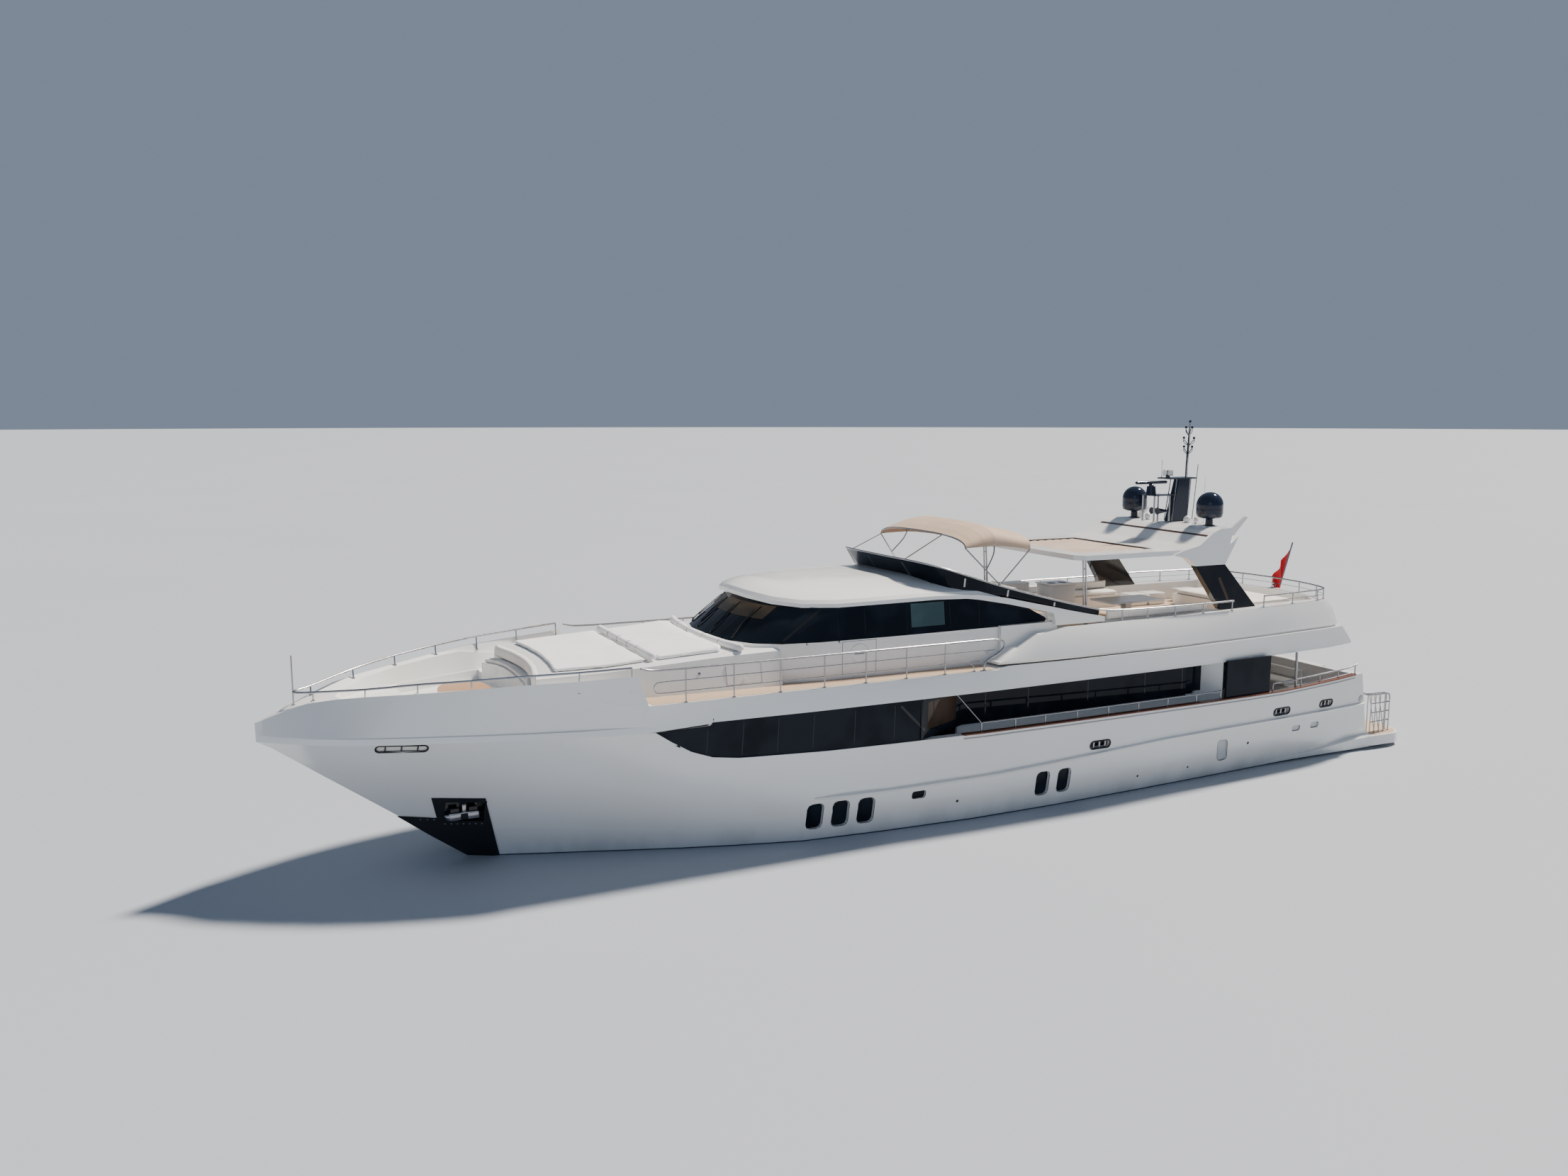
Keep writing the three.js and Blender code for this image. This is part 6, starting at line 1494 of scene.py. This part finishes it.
# %% Mooring holes with rollers
BLANKS = [(-8.18, 0.765, 0.38, 0.65, 0.2, 0.06), (-11.02, 1.05, 0.32, 0.17, 0.03, 0.05),
          (-11.81, 1.05, 0.32, 0.17, 0.03, 0.05)]
for side, sign in SIDES.items():
    shade_plate, frames, steel, blanks = Form(), Form(), Form(), Form()
    for x, z, length, height in HAWSES:
        at = hull_plane(x, z, length, height, sign)
        # A black plate at the back of each mooring hole is painted shade, standing for the dark inside of the
        # hole.
        plate(shade_plate, port_outline(x, z, length - 0.02, height - 0.02, 0, 0.45), at, 0.17, 0.15)
        rim(frames, port_outline(x, z, length, height, 0, 0.45, 0.012), at, 0.0, 0.022)
        reach = height / 2 - 0.012
        for dx in (-0.3 * length, 0.0, 0.3 * length):
            steel.rod(at(x + dx, z - reach, 0.05), at(x + dx, z + reach, 0.05), 0.028, 12)
        steel.rod(at(x - 0.3 * length, z - reach + 0.02, 0.06), at(x + 0.3 * length, z - reach + 0.02, 0.06),
                  0.02, 10)
    for x, z, length, height, lean, depth in BLANKS:
        at = hull_plane(x, z, length, height, sign)
        plate(blanks, port_outline(x, z, length - 0.02, height - 0.02, lean), at, depth - 0.006, depth - 0.02)
        rim(frames, port_outline(x, z, length, height, lean, 0.3, 0.0), at, 0.004, 0.006)
    shade_plate.done(f"hawse_shade_plates_{side}", RUBBER, "black_gloss")
    frames.done(f"hawse_frames_{side}", BLACK_GLOSS, "black_gloss")
    steel.done(f"hawse_rollers_{side}", STEEL, "steel")
    blanks.done(f"side_blanks_{side}", GREY_PAINT, "superstructure")

# %% Bow opening and the anchors
BOW_OVAL = (13.275, 3.035, 0.98, 0.15)
ANCHOR = (11.905, 0.57, 1.11)
for side, sign in SIDES.items():
    x, z, length, height = BOW_OVAL
    at = hull_plane(x, z, length, height, sign)
    back, frames, steel = Form(), Form(), Form()
    plate(back, port_outline(x, z, length - 0.01, height - 0.01, 0, 0.48), at, 0.055, 0.045)
    back.done(f"bow_opening_lining_{side}", CREAM_PAINT, "superstructure")
    rim(frames, port_outline(x, z, length, height, 0, 0.48, 0.01, 9), at, 0.0, 0.019)
    frames.done(f"bow_opening_frame_{side}", BLACK_GLOSS, "black_gloss")
    for dx in (-0.31, 0.0, 0.31):
        steel.rod(at(x + dx, z - 0.07, 0.025), at(x + dx, z + 0.07, 0.025), 0.017, 10)
    ax, ay, az = ANCHOR
    for dx in (-0.2, 0.2):
        steel.box((ax + dx - 0.13, ax + dx + 0.13), sorted(((ay - 0.09) * sign, (ay + 0.11) * sign)),
                  (az - 0.05, az + 0.13), 0.03)
    for dx in (-1, 1):
        steel.turned([(0.09, 0), (0.085, 0.05), (0.03, 0.13), (0.0, 0.14)], (ax + 0.28 * dx, ay * sign, az + 0.02),
                     (dx, 0, 0.35), 12)
    steel.box((ax - 0.045, ax + 0.045), sorted((0.45 * sign, 0.66 * sign)), (az + 0.09, az + 0.30), 0.02)
    steel.box((ax - 0.10, ax + 0.10), sorted((0.46 * sign, 0.67 * sign)), (az + 0.08, az + 0.125), 0.015)
    steel.box((ax - 0.13, ax + 0.13), sorted((0.45 * sign, 0.6 * sign)), (az + 0.33, az + 0.375), 0.015)
    bolts = [(bx, 0.915) for bx in np.linspace(12.27, 11.53, 7)] + [(12.5, 1.035), (12.63, 1.035), (12.77, 1.04)]
    for bx, bz in bolts:
        point, normal = from_side("anchor_plate", bx, bz, sign)
        steel.turned([(0.016, -0.002), (0.016, 0.004), (0.010, 0.010), (0.0, 0.011)], point, normal, 10)
    steel.done(f"anchor_steel_{side}", STEEL, "steel")

# %% Small fittings of the hull
for side, sign in SIDES.items():
    steel, dark = Form(), Form()
    point, normal = from_side("hull", -13.7, 1.62, sign)
    steel.turned([(0.10, -0.004), (0.10, 0.012), (0.085, 0.018), (0.0, 0.018)], point, normal, 24)
    for x, z, r in ((0.5, 0.55, 0.035), (-9.14, 0.85, 0.04), (-5.2, 0.42, 0.03), (-7.0, 0.42, 0.03)):
        point, normal = from_side("hull", x, z, sign)
        dark.turned([(r, -0.003), (r, 0.006), (0.7 * r, 0.009), (0.0, 0.009)], point, normal, 16)
    steel.done(f"stern_eye_{side}", STEEL, "steel")
    dark.done(f"skin_fittings_{side}", RUBBER, "black_gloss")
print("hull fittings done")

# %% [markdown]
# ## Glass
# Joints, wipers, blinds and a beige-brown band under the brow lie on curved glass, as thin ribbons and panels.

# %% Window band along the main deck
for side, sign in SIDES.items():
    node = f"main_glass_{side}"
    joints, brown = Form(), Form()
    for x in (7.05, 6.23, 5.4, 4.54, 3.5, 2.46):
        ribbon(joints, side_line(node, (x, cap_height(x) + 0.12), (x, 3.2), sign), 0.008, high=0.002)
    ribbon(joints, side_line(node, (2.3, 3.17), (1.62, 2.5), sign), 0.03)
    for x in (-0.6, -1.9, -3.8, -5.7, -7.0):
        ribbon(joints, side_line(node, (x, 2.42), (x, 3.2), sign), 0.015, high=0.003)
    joints.done(f"window_band_joints_{side}", BLACK_GLOSS, "black_gloss")
    pane_y = from_side(node, -7.0, 2.8, sign)[0].y
    last = Form()
    last.box((-7.67, -7.155), sorted((pane_y, pane_y - 0.012 * sign)), (2.42, 3.27), 0.003)
    last.done(f"last_pane_{side}", GLASS, "dark_glass")
    panel(brown, side_grid(node, np.linspace(1.5, 0.35, 8), np.linspace(2.5, 3.15, 5), sign), -0.002, 0.003)
    brown.done(f"brown_pane_{side}", BROWN_GLASS, "dark_glass")
    crest, columns = Form(), []
    for x in np.linspace(6.96, 8.0, 10):
        met_at = (z for z in np.arange(3.12, 3.3, 0.004) if from_side("upper_deck", x, z, sign)[0])
        foot = next(met_at, 3.3) + 0.003
        columns.append([from_side("upper_deck", x, foot + share * 0.09 * (8.15 - x) / 1.19, sign)
                        for share in (0, 0.5, 1)])
    columns = [column for column in columns if all(point for point, _ in column)]
    print("window band crest:", len(columns), "columns from z", round(columns[0][0][0].z, 3))
    panel(crest, columns, -0.002, 0.003)
    crest.done(f"window_band_crest_{side}", BLACK_GLOSS, "dark_glass")

# %% Wheelhouse glazing
# A beige-brown band of glass is laid across the top of the windscreen, under the roof's brow.
BROW_BAND = tinted_glass("brow_band_glass", (0.085, 0.062, 0.042))
NODE = "wheelhouse_glass"
joints, band = Form(), Form()
for y in (-0.78, 0.0, 0.78):
    ribbon(joints, front_line(NODE, y, 4.74, 5.42), 0.014)
panel(band, [[from_ahead(NODE, y, z) for y in np.linspace(-1.5, 1.5, 25)]
             for z in (5.17, 5.24, 5.31, 5.38, 5.44)], -0.002, 0.006)
for side, sign in SIDES.items():
    ribbon(joints, side_line(NODE, (3.9, 5.42), (4.9, 4.75), sign), 0.035)
    for x in (3.55, 2.85, 1.72, 0.5, -0.35):
        ribbon(joints, side_line(NODE, (x, 4.76), (x, 5.4), sign), 0.009, high=0.002)
joints.done("wheelhouse_glass_joints", BLACK_GLOSS, "black_gloss")
band.done("windscreen_brow_band", BROW_BAND, "dark_glass")
for side, sign in SIDES.items():
    blind = Form()
    panel(blind, side_grid(NODE, np.linspace(0.66, 1.6, 6), np.linspace(4.86, 5.42, 5), sign), -0.002, 0.003)
    blind.done(f"blind_pane_{side}", BLIND_GLASS, "dark_glass")

wipers, pads = Form(), Form()
for y in (1.3, 0.42, -0.46, -1.3):
    line = [from_ahead(NODE, y - 0.03 * k, z) for k, z in enumerate(np.linspace(4.77, 5.33, 9))]
    path = [p + n * (0.03 + 0.02 * math.sin(math.pi * k / 8)) for k, (p, n) in enumerate(line)]
    wipers.tube(path, [0.016, 0.014, 0.013, 0.012, 0.011, 0.01, 0.01, 0.009, 0.008], 8)
    blade = [from_ahead(NODE, y - 0.16, z) for z in np.linspace(4.86, 5.40, 9)]
    wipers.tube([p + n * 0.018 for p, n in blade], 0.011, 8)
    wipers.tube([path[6], blade[5][0] + blade[5][1] * 0.02], 0.008, 8)
    p, n = line[0]
    pads.turned([(0.035, -0.01), (0.035, 0.03), (0.02, 0.045), (0.0, 0.046)], p - Vector((0, 0, 0.02)), n, 14)
wipers.done("wipers", RUBBER, "black_gloss")
pads.done("wiper_pivots", BLACK_GLOSS, "black_gloss")

# %% Door, hatch and lamps in the wheelhouse's side
for side, sign in SIDES.items():
    seams, steel, white = Form(), Form(), Form()
    outline = [(3.47, 3.86), (3.47, 4.66), (2.58, 4.66), (2.58, 3.86)]
    for a, b in zip(outline, outline[1:]):
        ribbon(seams, side_line("wheelhouse", a, b, sign), 0.005, -0.003, 0.0015)
    seams.done(f"wheelhouse_door_seam_{side}", RUBBER, "black_gloss")
    point, normal = from_side("wheelhouse", 3.03, 4.35, sign)
    white.turned([(0.235, -0.01), (0.235, 0.008), (0.225, 0.016), (0.212, 0.012), (0.205, 0.0035), (0.0, 0.003)],
                 point, normal, 40)
    white.done(f"round_hatch_{side}", WHITE_PAINT, "superstructure")
    steel.box((2.9, 3.16), sorted((point.y - 0.01 * sign, point.y + 0.03 * sign)), (4.335, 4.36), 0.008)
    for x, z in ((4.35, 4.665), (3.55, 4.665)):
        p, n = from_side("wheelhouse", x, z, sign)
        steel.turned([(0.028, -0.003), (0.028, 0.02), (0.018, 0.035), (0.0, 0.036)], p, n, 14)
    p, n = from_side("foredeck_trunk", 6.98, 4.2, sign)
    steel.turned([(0.035, -0.003), (0.035, 0.006), (0.02, 0.012), (0.0, 0.012)], p, n, 18)
    steel.done(f"side_lamps_and_latches_{side}", STEEL, "steel")

# %% Posts of the flybridge screen
posts = Form()
for sign in (1, -1):
    for x, low, high in ((0.05, 5.62, 5.94), (-1.15, 5.34, 5.6), (-2.49, 5.06, 5.22)):
        ribbon(posts, side_line("fly_screen", (x, low), (x, high), sign, 4), 0.022, -0.004, 0.008)
for y in (-1.82, -0.27, 1.28):
    ribbon(posts, front_line("fly_screen", y, 5.9, 6.29), 0.02, -0.004, 0.008)
posts.done("screen_posts", STEEL, "steel")
print("glass details done")

# %% [markdown]
# ## Tables and furniture
# Tables have oiled teak tops with a solid edge and a turned steel leg. The rest of the open
# deck is white boxes with eased edges, as moulded furniture is.

# %% Tables
def oval(x, half_length, half_width, power=0.8, count=64, shrink=0.0):
    points = []
    for a in np.linspace(0, 2 * math.pi, count + 1)[:-1]:
        c, s = math.cos(a), math.sin(a)
        points.append((x + (half_length - shrink) * math.copysign(abs(c) ** power, c),
                       (half_width - shrink) * math.copysign(abs(s) ** power, s)))
    return points


form = Form()
layers = [(0.012, 3.765), (0.0, 3.774), (0.0, 3.801), (0.01, 3.81)]
form.skin([[(u, v, z) for u, v in oval(11.65, 0.58, 1.02, shrink=inset)] for inset, z in layers])
form.done("bow_table_top", TEAK_TABLE, "teak", stands_for=("bow_table",))
form = Form()
form.box((-12.0, -10.9), (-0.7, 0.7), (2.08, 2.13), 0.015)
form.done("cockpit_table_top", TEAK_TABLE, "teak", stands_for=("cockpit_table",))
form = Form()
form.turned([(0.23, 3.5505), (0.23, 3.57), (0.09, 3.585), (0.06, 3.7), (0.12, 3.7645)], (11.65, 0, 0), sides=28)
form.turned([(0.26, 1.4005), (0.26, 1.42), (0.08, 1.44), (0.07, 2.03), (0.16, 2.0795)], (-11.45, 0, 0), sides=28)
form.done("table_legs", STEEL, "steel")

# %% Furniture of the flybridge
white, steel, dark = Form(), Form(), Form()
white.box((-5.95, -5.1), (-1.62, -0.9), (4.109, 5.02), 0.03)
white.box((-5.98, -5.07), (-1.65, -0.87), (5.02, 5.06), 0.012)
for x in (-5.72, -5.34):
    dark.turned([(0.13, 5.061), (0.13, 5.066), (0.12, 5.068), (0.0, 5.068)], (x, -1.24, 0), sides=28)
white.box((-11.3, -10.6), (-2.0, -1.55), (4.109, 4.5), 0.03)
for x0 in (-9.9, -9.2):
    white.box((x0, x0 + 0.62), (-2.05, -1.5), (4.109, 4.47), 0.03)
for x in (-5.3, -4.75, -4.2):
    steel.turned([(0.19, 4.109), (0.19, 4.12), (0.03, 4.135), (0.028, 4.76), (0.1, 4.775)], (x, -1.42, 0),
                 sides=24)
    white.turned([(0.15, 4.776), (0.17, 4.79), (0.17, 4.83), (0.15, 4.845), (0.0, 4.85)], (x, -1.42, 0), sides=24)
white.done("fly_furniture", WHITE_PAINT, "superstructure")
steel.done("stool_legs", STEEL, "steel")
dark.done("hob_plates", BLACK_GLOSS, "black_gloss")
print("furniture done")
